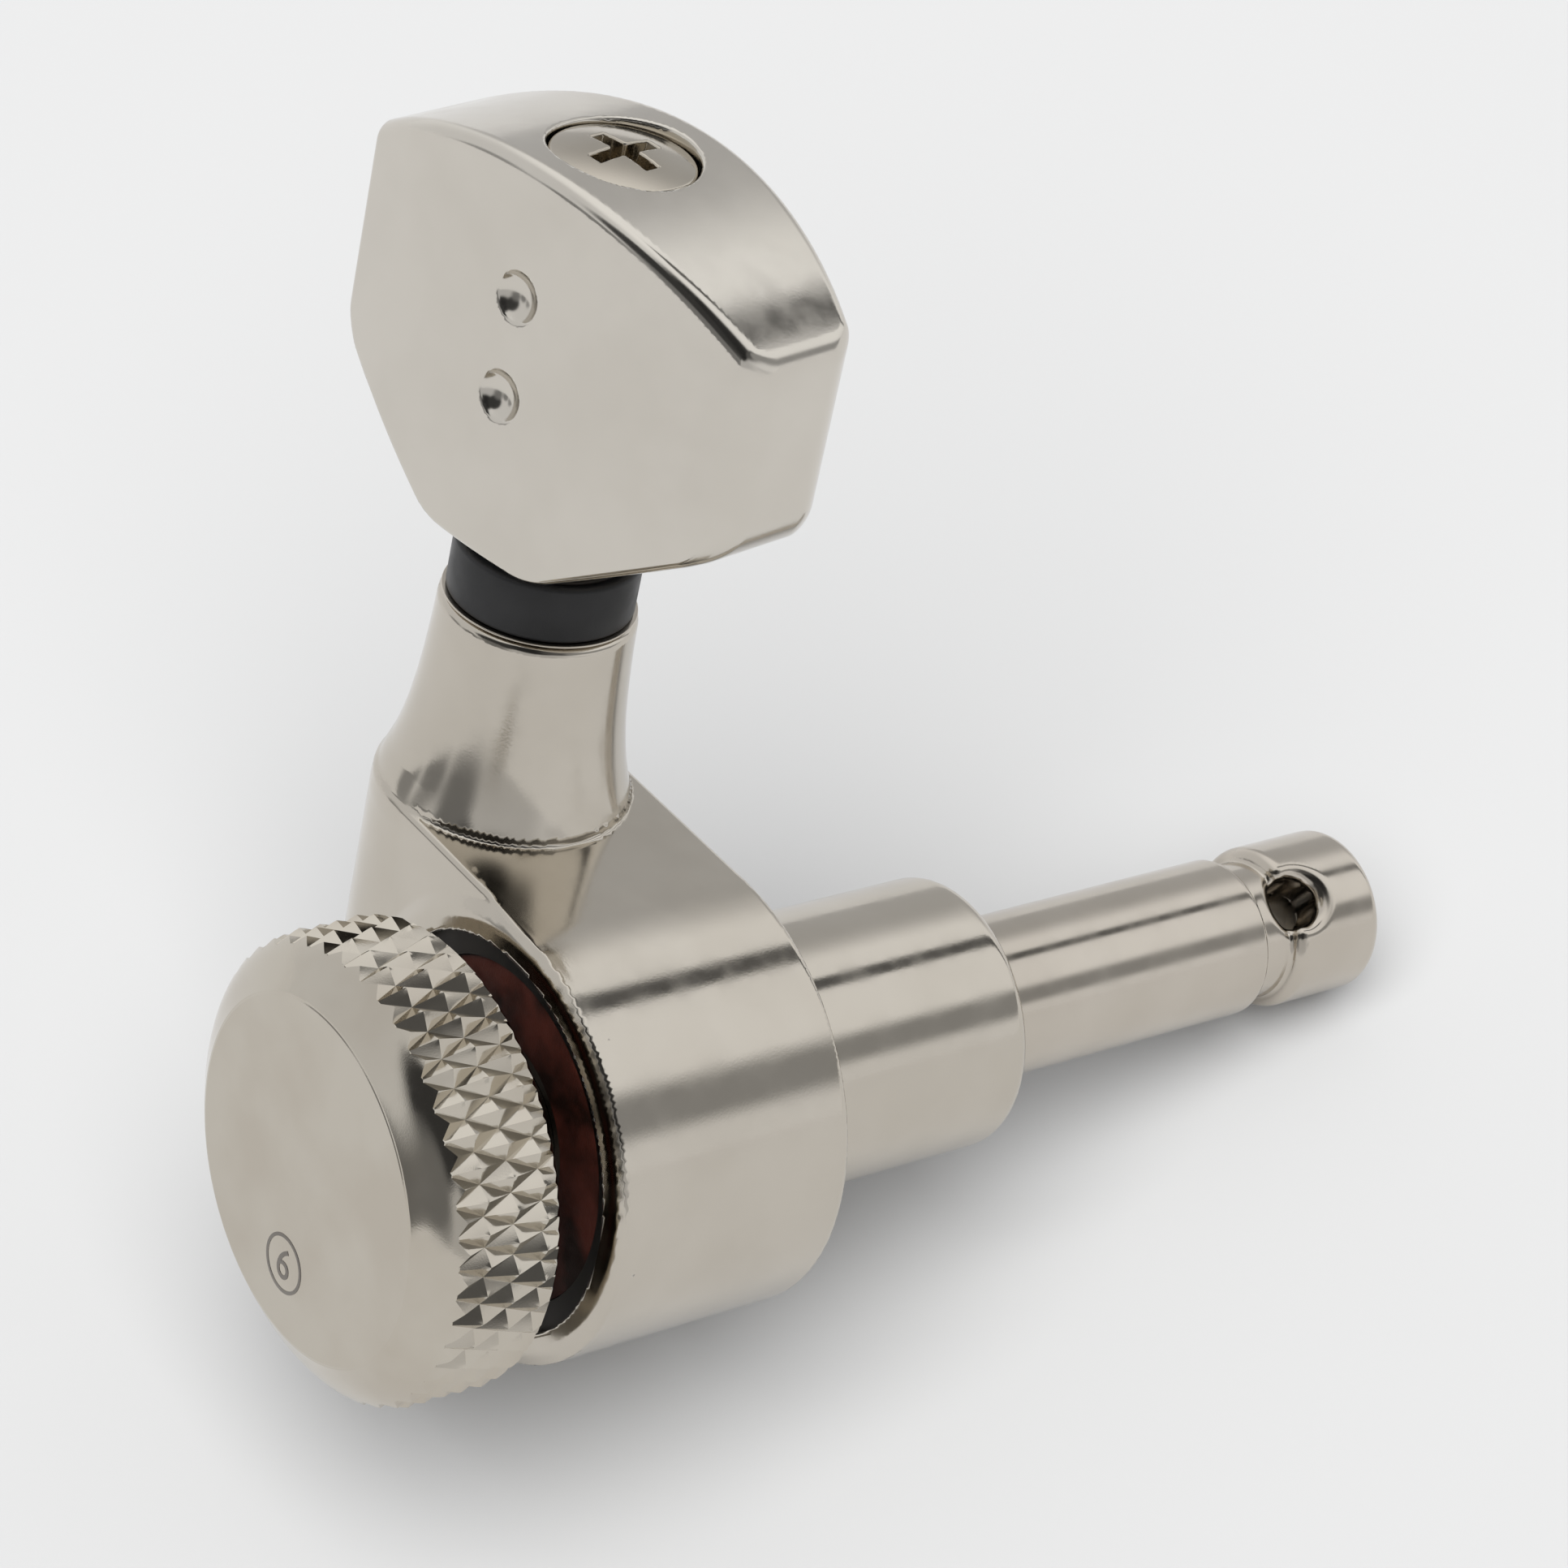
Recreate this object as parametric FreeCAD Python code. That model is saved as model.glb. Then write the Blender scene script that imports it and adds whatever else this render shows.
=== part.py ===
import FreeCAD
import Part
import math
import os

# Guitar tuning machine with a string lock, in millimetres.
# The origin is where the string post's axis crosses the seat face that lies against the headstock.
# +X runs along the post to its tip, +Z runs up the worm shaft to the button, and +Y points away from the
# post to the worm.

# Running and assembly clearances
running_gap = 0.05
side_gap = 0.06
loose_gap = 0.25
cut_overrun = 1.0

# Housing: gear case, worm boss and seat
case_radius = 8.14
case_length = 9.175
case_wall = 1.14
front_wall = 1.7
boss_rise = 1.54
case_edge_chamfer = 0.22
lip_height = 0.33
lip_wall = 0.69
lip_root_spread = 0.18

# Neck that carries the shaft
neck_height = 7.27
neck_base_radius = 4.43
neck_base_height = 0.3
neck_slim_radius = 3.38
neck_flare = 0.98
neck_flare_height = 2.6
neck_flare_steps = 6
neck_top_round = 0.3

# Barrel that passes through the headstock, threaded inside for its bushing
barrel_radius = 5.0
barrel_length = 10.66
barrel_edge_round = 0.6
barrel_thread_depth = 5.0

# Screw lug on the seat face
lug_angle = 290.0
lug_stand_out = 1.16
lug_radius = 2.45
lug_thickness = 2.0
lug_hole_radius = 1.2

# String post, measured back from its tip
post_radius = 3.0
post_reach = 19.04
shoulder_from_tip = 5.75
waist_depth = 0.38
waist_from_tip = 4.95
cap_from_tip = 4.1
cap_stand_out = 0.1
cap_round = 0.5
string_hole_from_tip = 3.65
string_hole_radius = 0.95
string_hole_angle = 125.0
mouth_spread = 0.55
mouth_depth = 0.8
seat_step = 0.25
seat_flat_depth = 0.45
post_rear_inset = 0.1125
pin_bore_radius = 1.3
stem_bore_radius = 2.0
stem_bore_depth = 7.0

# Worm and worm wheel
wheel_teeth = 18
wheel_tip_gap = 0.2
worm_pitch_radius = 2.35
pressure_angle = 20.0
addendum_share = 1.0
dedendum_share = 1.25
tooth_share = 0.4
worm_turns = 4
thread_root_overlap = 0.12

# Worm shaft
journal_radius = 1.95
foot_radius = 1.2
foot_length = 1.0
worm_core_overhang = 0.35
drive_step = 0.2
drive_flat_depth = 0.45
drive_end_gap = 0.4
screw_thread_radius = 0.9
screw_thread_length = 5.0

# Bushes, plates and washers inside
bush_wall = 0.9
rear_bush_share = 0.544
front_bush_share = 0.326
neck_bush_wall = 0.65
neck_bush_length = 3.0
end_plug_thickness = 1.3
worm_bore_clearance = 0.17
worm_washer_thickness = 0.4
thrust_washer_thickness = 0.5
thrust_washer_width = 1.6
thrust_gap = 0.1875
clip_thickness = 0.4
clip_width = 1.5
clip_groove_depth = 0.35
rear_plate_thickness = 1.0
ring_thickness = 0.5
ring_groove_depth = 0.3
ring_width = 0.9
ring_opening = 2.2
fibre_thickness = 0.35
fibre_bore_share = 0.6

# Washers under the button
bright_washer_thickness = 0.14
bright_washer_radius = 3.38
nylon_radius = 3.25
nylon_thickness = 2.1
wave_washer_thickness = 0.25
wave_washer_radius = 2.95

# Button, measured up from the bottom of its outline
button_turn = 9.5
button_half_width = 9.3
button_bottom_half_width = 2.6
button_corner_rise = 4.18
button_shoulder_rise = 11.1
button_height = 14.12
button_centre_thickness = 7.6
button_end_thickness = 4.5
button_edge_chamfer = 0.25
collar_radius = 2.75
collar_height = 0.3
collar_sink = 0.3
dimple_radius = 1.1
dimple_depth = 0.75
upper_dimple_rise = 9.55
lower_dimple_rise = 5.95
screw_pocket_radius = 2.55
screw_pocket_depth = 1.3

# Button screw
screw_head_gap = 0.1
screw_head_sink = 0.12
screw_head_dome = 0.25
cross_width = 0.55
cross_length = 2.6
cross_depth = 0.9

# Lock pin, stem and thumb wheel
pin_hole_gap = 0.15
pin_flat_share = 0.65
lock_travel = 1.6
stem_gap = 0.05
stem_set_depth = 1.1
seal_depth = 3.3
seal_groove_depth = 0.45
seal_radius = 0.24
seal_sides = 8
thumb_wheel_gap = 2.145
knurl_length = 3.42
shoulder_length = 1.49
shoulder_rise = 0.2
knurl_radius = 8.35
knurl_valley_depth = 0.3
knurl_chamfer = 0.3
face_radius = 6.38
hub_radius = 4.2
hub_gap = 0.15

# How many chords a rounded edge of a turned piece has
round_steps = 3
long_round_steps = 6

# Directions
along_post = FreeCAD.Vector(1, 0, 0)
along_shaft = FreeCAD.Vector(0, 0, 1)
away = FreeCAD.Vector(0, 1, 0)
post_axis = FreeCAD.Vector(0, 0, 0)
full_turn = 360.0

# Gears: the wheel fills the case, and the worm stands beside it
case_bore_radius = case_radius - case_wall
wheel_tip_radius = case_bore_radius - wheel_tip_gap
gear_module = wheel_tip_radius / (wheel_teeth / 2 + addendum_share)
wheel_pitch_radius = gear_module * wheel_teeth / 2
wheel_root_radius = wheel_pitch_radius - gear_module * dedendum_share
shaft_offset = wheel_pitch_radius + worm_pitch_radius
worm_pitch = math.pi * gear_module
worm_tip_radius = worm_pitch_radius + gear_module * addendum_share
worm_root_radius = worm_pitch_radius - gear_module * dedendum_share
worm_half_length = worm_pitch * worm_turns / 2
worm_end = worm_half_length + worm_core_overhang
worm_bore_radius = worm_tip_radius + worm_bore_clearance

# Places along the post, from the front of the case to its rear
shaft_x = -case_length / 2
boss_radius = case_length / 2
shaft_axis = FreeCAD.Vector(shaft_x, shaft_offset, 0)
wheel_front = -front_wall - thrust_gap - thrust_washer_thickness
wheel_width = 2 * (wheel_front - shaft_x)
wheel_rear = shaft_x - wheel_width / 2
clip_rear = wheel_rear - clip_thickness
rear_plate_front = clip_rear - loose_gap
rear_plate_rear = rear_plate_front - rear_plate_thickness
fibre_rear = rear_plate_rear - fibre_thickness
fibre_radius = case_bore_radius - ring_width - side_gap
ring_rear = rear_plate_rear - ring_thickness
post_rear = fibre_rear - post_rear_inset
lip_rear = -case_length - lip_height
lip_outer_radius = case_bore_radius + lip_wall
lip_root_radius = case_radius + lip_root_spread

# Places along the post, in front of the seat
bush_room = front_wall + barrel_length - barrel_thread_depth
front_bush_end = barrel_length - barrel_thread_depth
post_tip = barrel_length + post_reach
shoulder_place = post_tip - shoulder_from_tip
waist_place = post_tip - waist_from_tip
waist_radius = post_radius - waist_depth
cap_place = post_tip - cap_from_tip
cap_radius = post_radius + cap_stand_out
string_hole_place = post_tip - string_hole_from_tip
seat_radius = post_radius - seat_step
seat_flat = seat_radius - seat_flat_depth
post_bush_bore = post_radius + running_gap
barrel_bore_radius = post_bush_bore + bush_wall

# Heights up the shaft
boss_depth = case_radius - boss_rise
neck_base_top = case_radius + neck_base_height
neck_top = case_radius + neck_height
worm_washer_base = worm_end + side_gap
worm_bore_top = worm_washer_base + worm_washer_thickness
plug_top = -boss_depth + end_plug_thickness
shaft_bush_bore = journal_radius + running_gap
nylon_base = neck_top + bright_washer_thickness
nylon_top = nylon_base + nylon_thickness
wave_top = nylon_top + wave_washer_thickness
button_bottom = wave_top + collar_height
button_top = button_bottom + button_height
drive_radius = journal_radius - drive_step
drive_flat = drive_radius - drive_flat_depth
drive_top = button_top - screw_pocket_depth - drive_end_gap
screw_head_radius = screw_pocket_radius - screw_head_gap

# Screw lug, seen along the post
lug_reach = case_radius + lug_stand_out
lug_y = lug_reach * math.cos(math.radians(lug_angle))
lug_z = lug_reach * math.sin(math.radians(lug_angle))

# Lock
pin_radius = pin_bore_radius - running_gap
pin_tip = string_hole_place - string_hole_radius - pin_hole_gap
stem_radius = stem_bore_radius - running_gap
stem_front = post_rear + stem_bore_depth - lock_travel - stem_gap
seal_place = post_rear + seal_depth
wheel_back = lip_rear - thumb_wheel_gap
knurl_front = wheel_back - knurl_length
wheel_face = knurl_front - shoulder_length
hub_front = post_rear - lock_travel - hub_gap
stem_rear = wheel_back - stem_set_depth


def lathe_x(points):
    """A solid turned about the post's axis from (place along X, radius) points."""
    corners = [FreeCAD.Vector(place, 0, radius) for place, radius in points]
    face = Part.Face(Part.makePolygon(corners + corners[:1]))
    return face.revolve(post_axis, along_post, full_turn)


def lathe_z(points):
    """A solid turned about the shaft's axis from (height, radius) points."""
    corners = [shaft_axis + FreeCAD.Vector(radius, 0, height) for height, radius in points]
    face = Part.Face(Part.makePolygon(corners + corners[:1]))
    return face.revolve(shaft_axis, along_shaft, full_turn)


def bend(start, corner, end, steps):
    """Points of a quarter ellipse from start to end that touches both legs of the corner between them."""
    points = []
    for step in range(steps + 1):
        angle = math.pi / 2 * step / steps
        from_start = 1 - math.sin(angle)
        from_end = 1 - math.cos(angle)
        points.append(tuple(c + (a - c) * from_start + (b - c) * from_end
                            for a, c, b in zip(start, corner, end)))
    return points


def arch(start, end, rise, steps):
    """Points on a parabola from start to end that stands off the straight line by the rise at its middle."""
    along = end[0] - start[0]
    out = end[1] - start[1]
    length = math.hypot(along, out)
    points = []
    for step in range(steps + 1):
        share = step / steps
        stand_off = 4 * rise * share * (1 - share) / length
        points.append((start[0] + along * share - out * stand_off,
                       start[1] + out * share + along * stand_off))
    return points


def ring_x(low, high, outer, inner=0):
    """A tube or disc along the post's axis."""
    body = Part.makeCylinder(outer, high - low, FreeCAD.Vector(low, 0, 0), along_post)
    if inner:
        start = FreeCAD.Vector(low - cut_overrun, 0, 0)
        body = body.cut(Part.makeCylinder(inner, high - low + 2 * cut_overrun, start, along_post))
    return body


def ring_z(low, high, outer, inner=0):
    """A tube or disc along the shaft's axis."""
    base = shaft_axis + FreeCAD.Vector(0, 0, low)
    body = Part.makeCylinder(outer, high - low, base, along_shaft)
    if inner:
        start = shaft_axis + FreeCAD.Vector(0, 0, low - cut_overrun)
        body = body.cut(Part.makeCylinder(inner, high - low + 2 * cut_overrun, start, along_shaft))
    return body


def turned_about_post(shape, degrees):
    """A copy of a shape, turned about the post's axis."""
    copy = shape.copy()
    copy.rotate(post_axis, along_post, degrees)
    return copy


def case_outline(low, high):
    """The outside of the gear case and the worm boss, between two planes along X."""
    drum = ring_x(low, high, case_radius)
    height = case_radius + boss_depth
    block = Part.makeBox(high - low, shaft_offset, height, FreeCAD.Vector(low, 0, -boss_depth))
    return drum.fuse(block)


def neck():
    """The neck: a base ring, a flare that falls off exponentially with height, and a rounded top."""
    shoulder = neck_top - neck_top_round
    outline = [(case_radius - cut_overrun, 0), (case_radius - cut_overrun, neck_base_radius),
               (neck_base_top, neck_base_radius)]
    for step in range(neck_flare_steps + 1):
        height = (shoulder - neck_base_top) * (step / neck_flare_steps) ** 1.5
        outline.append((neck_base_top + height,
                        neck_slim_radius + neck_flare * math.exp(-height / neck_flare_height)))
    top_radius = outline[-1][1]
    outline += bend((shoulder, top_radius), (neck_top, top_radius), (neck_top, top_radius - neck_top_round),
                    round_steps)[1:]
    return lathe_z(outline + [(neck_top, 0)])


def screw_lug():
    """The lug on the seat face, a rounded arm with one screw hole."""
    start = FreeCAD.Vector(-lug_thickness, lug_y, lug_z)
    end = Part.makeCylinder(lug_radius, lug_thickness, start, along_post)
    arm = Part.makeBox(lug_thickness, lug_reach, 2 * lug_radius,
                       FreeCAD.Vector(-lug_thickness, 0, -lug_radius))
    return end.fuse(turned_about_post(arm, lug_angle))


def lug_hole():
    """The cutter for the lug's screw hole."""
    start = FreeCAD.Vector(-lug_thickness - cut_overrun, lug_y, lug_z)
    return Part.makeCylinder(lug_hole_radius, lug_thickness + 2 * cut_overrun, start, along_post)


def barrel():
    """The barrel's outside, with its rounded front edge."""
    edge = bend((barrel_length - barrel_edge_round, barrel_radius), (barrel_length, barrel_radius),
                (barrel_length, barrel_radius - barrel_edge_round), round_steps)
    return lathe_x([(-front_wall, 0), (-front_wall, barrel_radius)] + edge + [(barrel_length, 0)])


def make_housing():
    """The casting: gear case, boss, neck, barrel, lug and rear lip, with its bores."""
    case = case_outline(-case_length, 0).fuse(ring_z(-boss_depth, case_radius, boss_radius))
    case = case.removeSplitter()
    long_edges = [e for e in case.Edges if abs(e.BoundBox.XMax) < side_gap and e.BoundBox.XLength < side_gap]
    case = case.makeChamfer(case_edge_chamfer, long_edges)
    lip = lathe_x([(-case_length, 0), (-case_length, lip_root_radius), (lip_rear, lip_outer_radius),
                   (lip_rear, 0)])
    lip = lip.common(case_outline(lip_rear, -case_length).fuse(ring_x(lip_rear, -case_length, case_radius)))
    body = case.fuse([lip, neck(), barrel(), screw_lug()])
    gear_bore = ring_x(lip_rear - cut_overrun, -front_wall, case_bore_radius)
    ring_groove = ring_x(ring_rear, rear_plate_rear, case_bore_radius + ring_groove_depth)
    barrel_bore = ring_x(-front_wall - cut_overrun, barrel_length + cut_overrun, barrel_bore_radius)
    worm_bore = ring_z(-boss_depth - cut_overrun, worm_bore_top, worm_bore_radius)
    shaft_bore = ring_z(worm_bore_top - cut_overrun, neck_top + cut_overrun, shaft_bush_bore)
    bush_seat = ring_z(neck_top - neck_bush_length, neck_top + cut_overrun, shaft_bush_bore + neck_bush_wall)
    for cutter in (gear_bore, ring_groove, barrel_bore, worm_bore, shaft_bore, bush_seat, lug_hole()):
        body = body.cut(cutter)
    return body.removeSplitter()


def string_hole(radius, low, high):
    """A cutter across the post, at the string hole's place and angle."""
    start = FreeCAD.Vector(string_hole_place, low, 0)
    return turned_about_post(Part.makeCylinder(radius, high - low, start, away), string_hole_angle)


def hole_mouth():
    """The flared mouth of the string hole, a cone on each side of the post."""
    base = waist_radius - mouth_depth
    start = FreeCAD.Vector(string_hole_place, base, 0)
    reach = cap_radius + cut_overrun - base
    spread = mouth_spread / (cap_radius - base)
    mouth = Part.makeCone(string_hole_radius, string_hole_radius + spread * reach, reach, start, away)
    near = turned_about_post(mouth, string_hole_angle)
    return near.fuse(turned_about_post(near, full_turn / 2))


def make_string_post():
    """The hollow post, with its wheel seat, shoulder, waist, cap and string hole."""
    groove = seat_radius - clip_groove_depth
    outline = [(post_rear, 0), (post_rear, seat_radius), (clip_rear, seat_radius), (clip_rear, groove),
               (wheel_rear, groove), (wheel_rear, seat_radius), (wheel_front, seat_radius),
               (wheel_front, post_radius)]
    outline += bend((shoulder_place, post_radius), (shoulder_place, waist_radius),
                    (waist_place, waist_radius), round_steps)
    outline += bend((waist_place, waist_radius), (cap_place, waist_radius), (cap_place, cap_radius),
                    round_steps)[1:]
    outline += bend((post_tip - cap_round, cap_radius), (post_tip, cap_radius),
                    (post_tip, cap_radius - cap_round), round_steps)
    post = lathe_x(outline + [(post_tip, 0)])
    flat = Part.makeBox(wheel_front - wheel_rear, 2 * seat_radius, seat_radius,
                        FreeCAD.Vector(wheel_rear, -seat_radius, seat_flat))
    post = post.cut(flat.fuse(turned_about_post(flat, full_turn / 2)))
    post = post.cut(ring_x(post_rear - cut_overrun, string_hole_place + string_hole_radius, pin_bore_radius))
    post = post.cut(ring_x(post_rear - cut_overrun, post_rear + stem_bore_depth, stem_bore_radius))
    post = post.cut(string_hole(string_hole_radius, -cap_radius - cut_overrun, cap_radius + cut_overrun))
    return post.cut(hole_mouth())


def tooth_gap():
    """One slanted gash between two teeth of the worm wheel, as a cutter on the +Y side."""
    slope = math.tan(math.radians(pressure_angle))
    half_at_pitch = worm_pitch * (1 - tooth_share) / 2
    bottom = wheel_root_radius
    top = wheel_tip_radius + cut_overrun
    half_bottom = half_at_pitch - (wheel_pitch_radius - bottom) * slope
    half_top = half_at_pitch + (top - wheel_pitch_radius) * slope
    reach = wheel_width / 2 + cut_overrun
    lead = worm_pitch / (2 * math.pi * worm_pitch_radius)
    corners = [(bottom, -half_bottom), (top, -half_top), (top, half_top), (bottom, half_bottom)]
    points = [FreeCAD.Vector(shaft_x - reach, y, z - reach * lead) for y, z in corners]
    face = Part.Face(Part.makePolygon(points + points[:1]))
    return face.extrude(FreeCAD.Vector(2 * reach, 0, 2 * reach * lead))


def make_worm_wheel():
    """The brass wheel, with teeth gashed at the worm's lead angle and a bore with two flats."""
    chamfer = gear_module * addendum_share / 2
    blank = lathe_x([(wheel_rear, 0), (wheel_rear, wheel_tip_radius - chamfer),
                     (wheel_rear + chamfer, wheel_tip_radius), (wheel_front - chamfer, wheel_tip_radius),
                     (wheel_front, wheel_tip_radius - chamfer), (wheel_front, 0)])
    gap = tooth_gap()
    step = full_turn / wheel_teeth
    blank = blank.cut([turned_about_post(gap, step * tooth) for tooth in range(wheel_teeth)])
    bore = ring_x(wheel_rear - cut_overrun, wheel_front + cut_overrun, seat_radius)
    slab = Part.makeBox(wheel_width + 2 * cut_overrun, 2 * seat_radius, 2 * seat_flat,
                        FreeCAD.Vector(wheel_rear - cut_overrun, -seat_radius, -seat_flat))
    return blank.cut(bore.common(slab))


def worm_thread():
    """The worm's single thread, a tapered ridge swept along a helix that meets the wheel at mid height."""
    slope = math.tan(math.radians(pressure_angle))
    half_at_pitch = worm_pitch * tooth_share / 2
    inner = worm_root_radius - thread_root_overlap
    half_inner = half_at_pitch + (worm_pitch_radius - inner) * slope
    half_outer = half_at_pitch - (worm_tip_radius - worm_pitch_radius) * slope
    helix = Part.makeHelix(worm_pitch, 2 * worm_half_length, worm_pitch_radius)
    corners = [(inner, -half_inner), (worm_tip_radius, -half_outer), (worm_tip_radius, half_outer),
               (inner, half_inner)]
    points = [FreeCAD.Vector(radius, 0, height) for radius, height in corners]
    profile = Part.Wire(Part.makePolygon(points + points[:1]))
    thread = Part.Wire(helix).makePipeShell([profile], True, True)
    thread.rotate(post_axis, along_shaft, -full_turn / 4)
    thread.translate(shaft_axis + FreeCAD.Vector(0, 0, -worm_half_length))
    return thread


def make_worm_shaft():
    """The worm and its shaft: foot, worm, journal and the flatted end inside the button."""
    foot_base = plug_top - foot_length
    core = lathe_z([(foot_base, 0), (foot_base, foot_radius), (-worm_end, foot_radius),
                    (-worm_end, worm_root_radius), (worm_half_length, worm_root_radius),
                    (worm_half_length, worm_tip_radius), (worm_end, worm_tip_radius),
                    (worm_end, journal_radius), (wave_top, journal_radius), (wave_top, drive_radius),
                    (drive_top, drive_radius), (drive_top, 0)])
    height = drive_top - wave_top + cut_overrun
    flat = Part.makeBox(drive_radius, 2 * drive_radius, height,
                        shaft_axis + FreeCAD.Vector(drive_flat, -drive_radius, wave_top))
    other = flat.copy()
    other.rotate(shaft_axis, along_shaft, full_turn / 2)
    flats = flat.fuse(other)
    flats.rotate(shaft_axis, along_shaft, button_turn)
    tapped = ring_z(drive_top - screw_thread_length, drive_top + cut_overrun, screw_thread_radius)
    return core.cut(flats).cut(tapped).fuse(worm_thread())


def button_block():
    """The button's outside before its holes: a kite outline with a crowned cross-section."""
    half_end = button_end_thickness / 2
    half_centre = button_centre_thickness / 2
    deep = half_centre + cut_overrun
    width = button_half_width
    corner = button_bottom + button_corner_rise
    shoulder = button_bottom + button_shoulder_rise

    def outline(w, z):
        return shaft_axis + FreeCAD.Vector(-deep, -w, z)

    rim = [
        Part.makeLine(outline(-button_bottom_half_width, button_bottom),
                      outline(button_bottom_half_width, button_bottom)),
        Part.makeLine(outline(button_bottom_half_width, button_bottom), outline(width, corner)),
        Part.makeLine(outline(width, corner), outline(width, shoulder)),
        Part.Arc(outline(width, shoulder), outline(0, button_top),
                 outline(-width, shoulder)).toShape(),
        Part.makeLine(outline(-width, shoulder), outline(-width, corner)),
        Part.makeLine(outline(-width, corner),
                      outline(-button_bottom_half_width, button_bottom)),
    ]
    slab = Part.Face(Part.Wire(rim)).extrude(FreeCAD.Vector(2 * deep, 0, 0))

    def section(t, w):
        return shaft_axis + FreeCAD.Vector(t, w, button_bottom - cut_overrun)

    lens = [
        Part.Arc(section(-half_end, -width), section(-half_centre, 0), section(-half_end, width)).toShape(),
        Part.makeLine(section(-half_end, width), section(half_end, width)),
        Part.Arc(section(half_end, width), section(half_centre, 0), section(half_end, -width)).toShape(),
        Part.makeLine(section(half_end, -width), section(-half_end, -width)),
    ]
    crown = Part.Face(Part.Wire(lens)).extrude(
        FreeCAD.Vector(0, 0, button_top - button_bottom + 2 * cut_overrun))
    block = slab.common(crown)
    return block.makeChamfer(button_edge_chamfer, block.Edges)


def make_button():
    """The button, with its collar, shaft hole, screw pocket and the two dimples on its front."""
    front = shaft_axis + FreeCAD.Vector(-button_centre_thickness / 2, 0, 0)
    body = button_block().fuse(ring_z(wave_top, button_bottom + collar_sink, collar_radius))
    for rise in (upper_dimple_rise, lower_dimple_rise):
        slope = dimple_radius / dimple_depth
        start = front + FreeCAD.Vector(-cut_overrun, 0, button_bottom + rise)
        deep = dimple_depth + cut_overrun
        body = body.cut(Part.makeCone(slope * deep, 0, deep, start, along_post))
    hole = ring_z(wave_top - cut_overrun, button_top, drive_radius)
    slab = Part.makeBox(2 * drive_flat, 2 * drive_radius, button_top - wave_top + cut_overrun,
                        shaft_axis + FreeCAD.Vector(-drive_flat, -drive_radius, wave_top - cut_overrun))
    hole = hole.common(slab)
    pocket = ring_z(button_top - screw_pocket_depth, button_top + cut_overrun, screw_pocket_radius)
    body = body.cut(hole.fuse(pocket))
    body.rotate(shaft_axis, along_shaft, button_turn)
    return body


def make_button_screw():
    """The screw: a slightly domed head with a cross recess, and its shank."""
    head_base = button_top - screw_pocket_depth
    head_edge = button_top - screw_head_sink - screw_head_dome
    shank_end = drive_top - screw_thread_length + loose_gap
    dome = []
    for step in range(round_steps + 1):
        share = 1 - step / round_steps
        dome.append((head_edge + screw_head_dome * (1 - share ** 2), screw_head_radius * share))
    screw = lathe_z([(shank_end, 0), (shank_end, screw_thread_radius), (head_base, screw_thread_radius),
                     (head_base, screw_head_radius)] + dome)
    corner = FreeCAD.Vector(-cross_length / 2, -cross_width / 2, button_top - screw_head_sink - cross_depth)
    slot = Part.makeBox(cross_length, cross_width, cross_depth + cut_overrun, shaft_axis + corner)
    other = slot.copy()
    other.rotate(shaft_axis, along_shaft, full_turn / 4)
    cross = slot.fuse(other)
    cross.rotate(shaft_axis, along_shaft, button_turn)
    return screw.cut(cross)


def make_thumb_wheel():
    """The thumb wheel: knurled band, rounded shoulder, flat face and the hub behind it."""
    band = knurl_radius - knurl_valley_depth / 2
    shoulder = arch((wheel_face, face_radius), (knurl_front, band), shoulder_rise, long_round_steps)
    wheel = lathe_x([(wheel_face, 0)] + shoulder + [(wheel_back - knurl_chamfer, band),
                    (wheel_back, band - knurl_chamfer), (wheel_back, hub_radius), (hub_front, hub_radius),
                    (hub_front, 0)])
    return wheel.cut(ring_x(stem_rear, hub_front + cut_overrun, stem_radius))


def make_lock_screw():
    """The threaded stem, set in the thumb wheel, that pushes the pin, with a groove for its seal."""
    groove = stem_radius - seal_groove_depth
    low = seal_place - seal_radius
    high = seal_place + seal_radius
    return lathe_x([(stem_rear, 0), (stem_rear, stem_radius), (low, stem_radius), (low, groove),
                    (high, groove), (high, stem_radius), (stem_front, stem_radius), (stem_front, 0)])


def make_stem_seal():
    """The rubber ring in the stem's groove, which keeps the wheel from turning by itself."""
    ring_radius = stem_radius - seal_groove_depth + seal_radius
    corners = []
    for side in range(seal_sides):
        angle = 2 * math.pi * (side + 0.5) / seal_sides
        corners.append((seal_place + seal_radius * math.cos(angle),
                        ring_radius + seal_radius * math.sin(angle)))
    return lathe_x(corners)


def make_lock_pin():
    """The pin that slides in the post, with a rounded tip that presses on the string."""
    flat = pin_radius * pin_flat_share
    tip = bend((pin_tip - pin_radius + flat, pin_radius), (pin_tip, pin_radius), (pin_tip, flat), round_steps)
    return lathe_x([(stem_front, 0), (stem_front, pin_radius)] + tip + [(pin_tip, 0)])


def make_retaining_ring():
    """The open spring ring in the case's groove, behind the rear plate."""
    ring = ring_x(ring_rear, rear_plate_rear, case_bore_radius + ring_groove_depth,
                  case_bore_radius - ring_width)
    gap = Part.makeBox(ring_thickness + 2 * cut_overrun, ring_opening, case_radius,
                       FreeCAD.Vector(ring_rear - cut_overrun, -ring_opening / 2, -case_radius))
    return ring.cut(gap)


def make_wheel_clip():
    """The open clip in the post's groove, behind the worm wheel."""
    groove = seat_radius - clip_groove_depth
    clip = ring_x(clip_rear, wheel_rear, groove + clip_width, groove)
    reach = groove + clip_width + cut_overrun
    gap = Part.makeBox(clip_thickness + 2 * cut_overrun, groove, reach,
                       FreeCAD.Vector(clip_rear - cut_overrun, -groove / 2, -reach))
    return clip.cut(gap)


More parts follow.
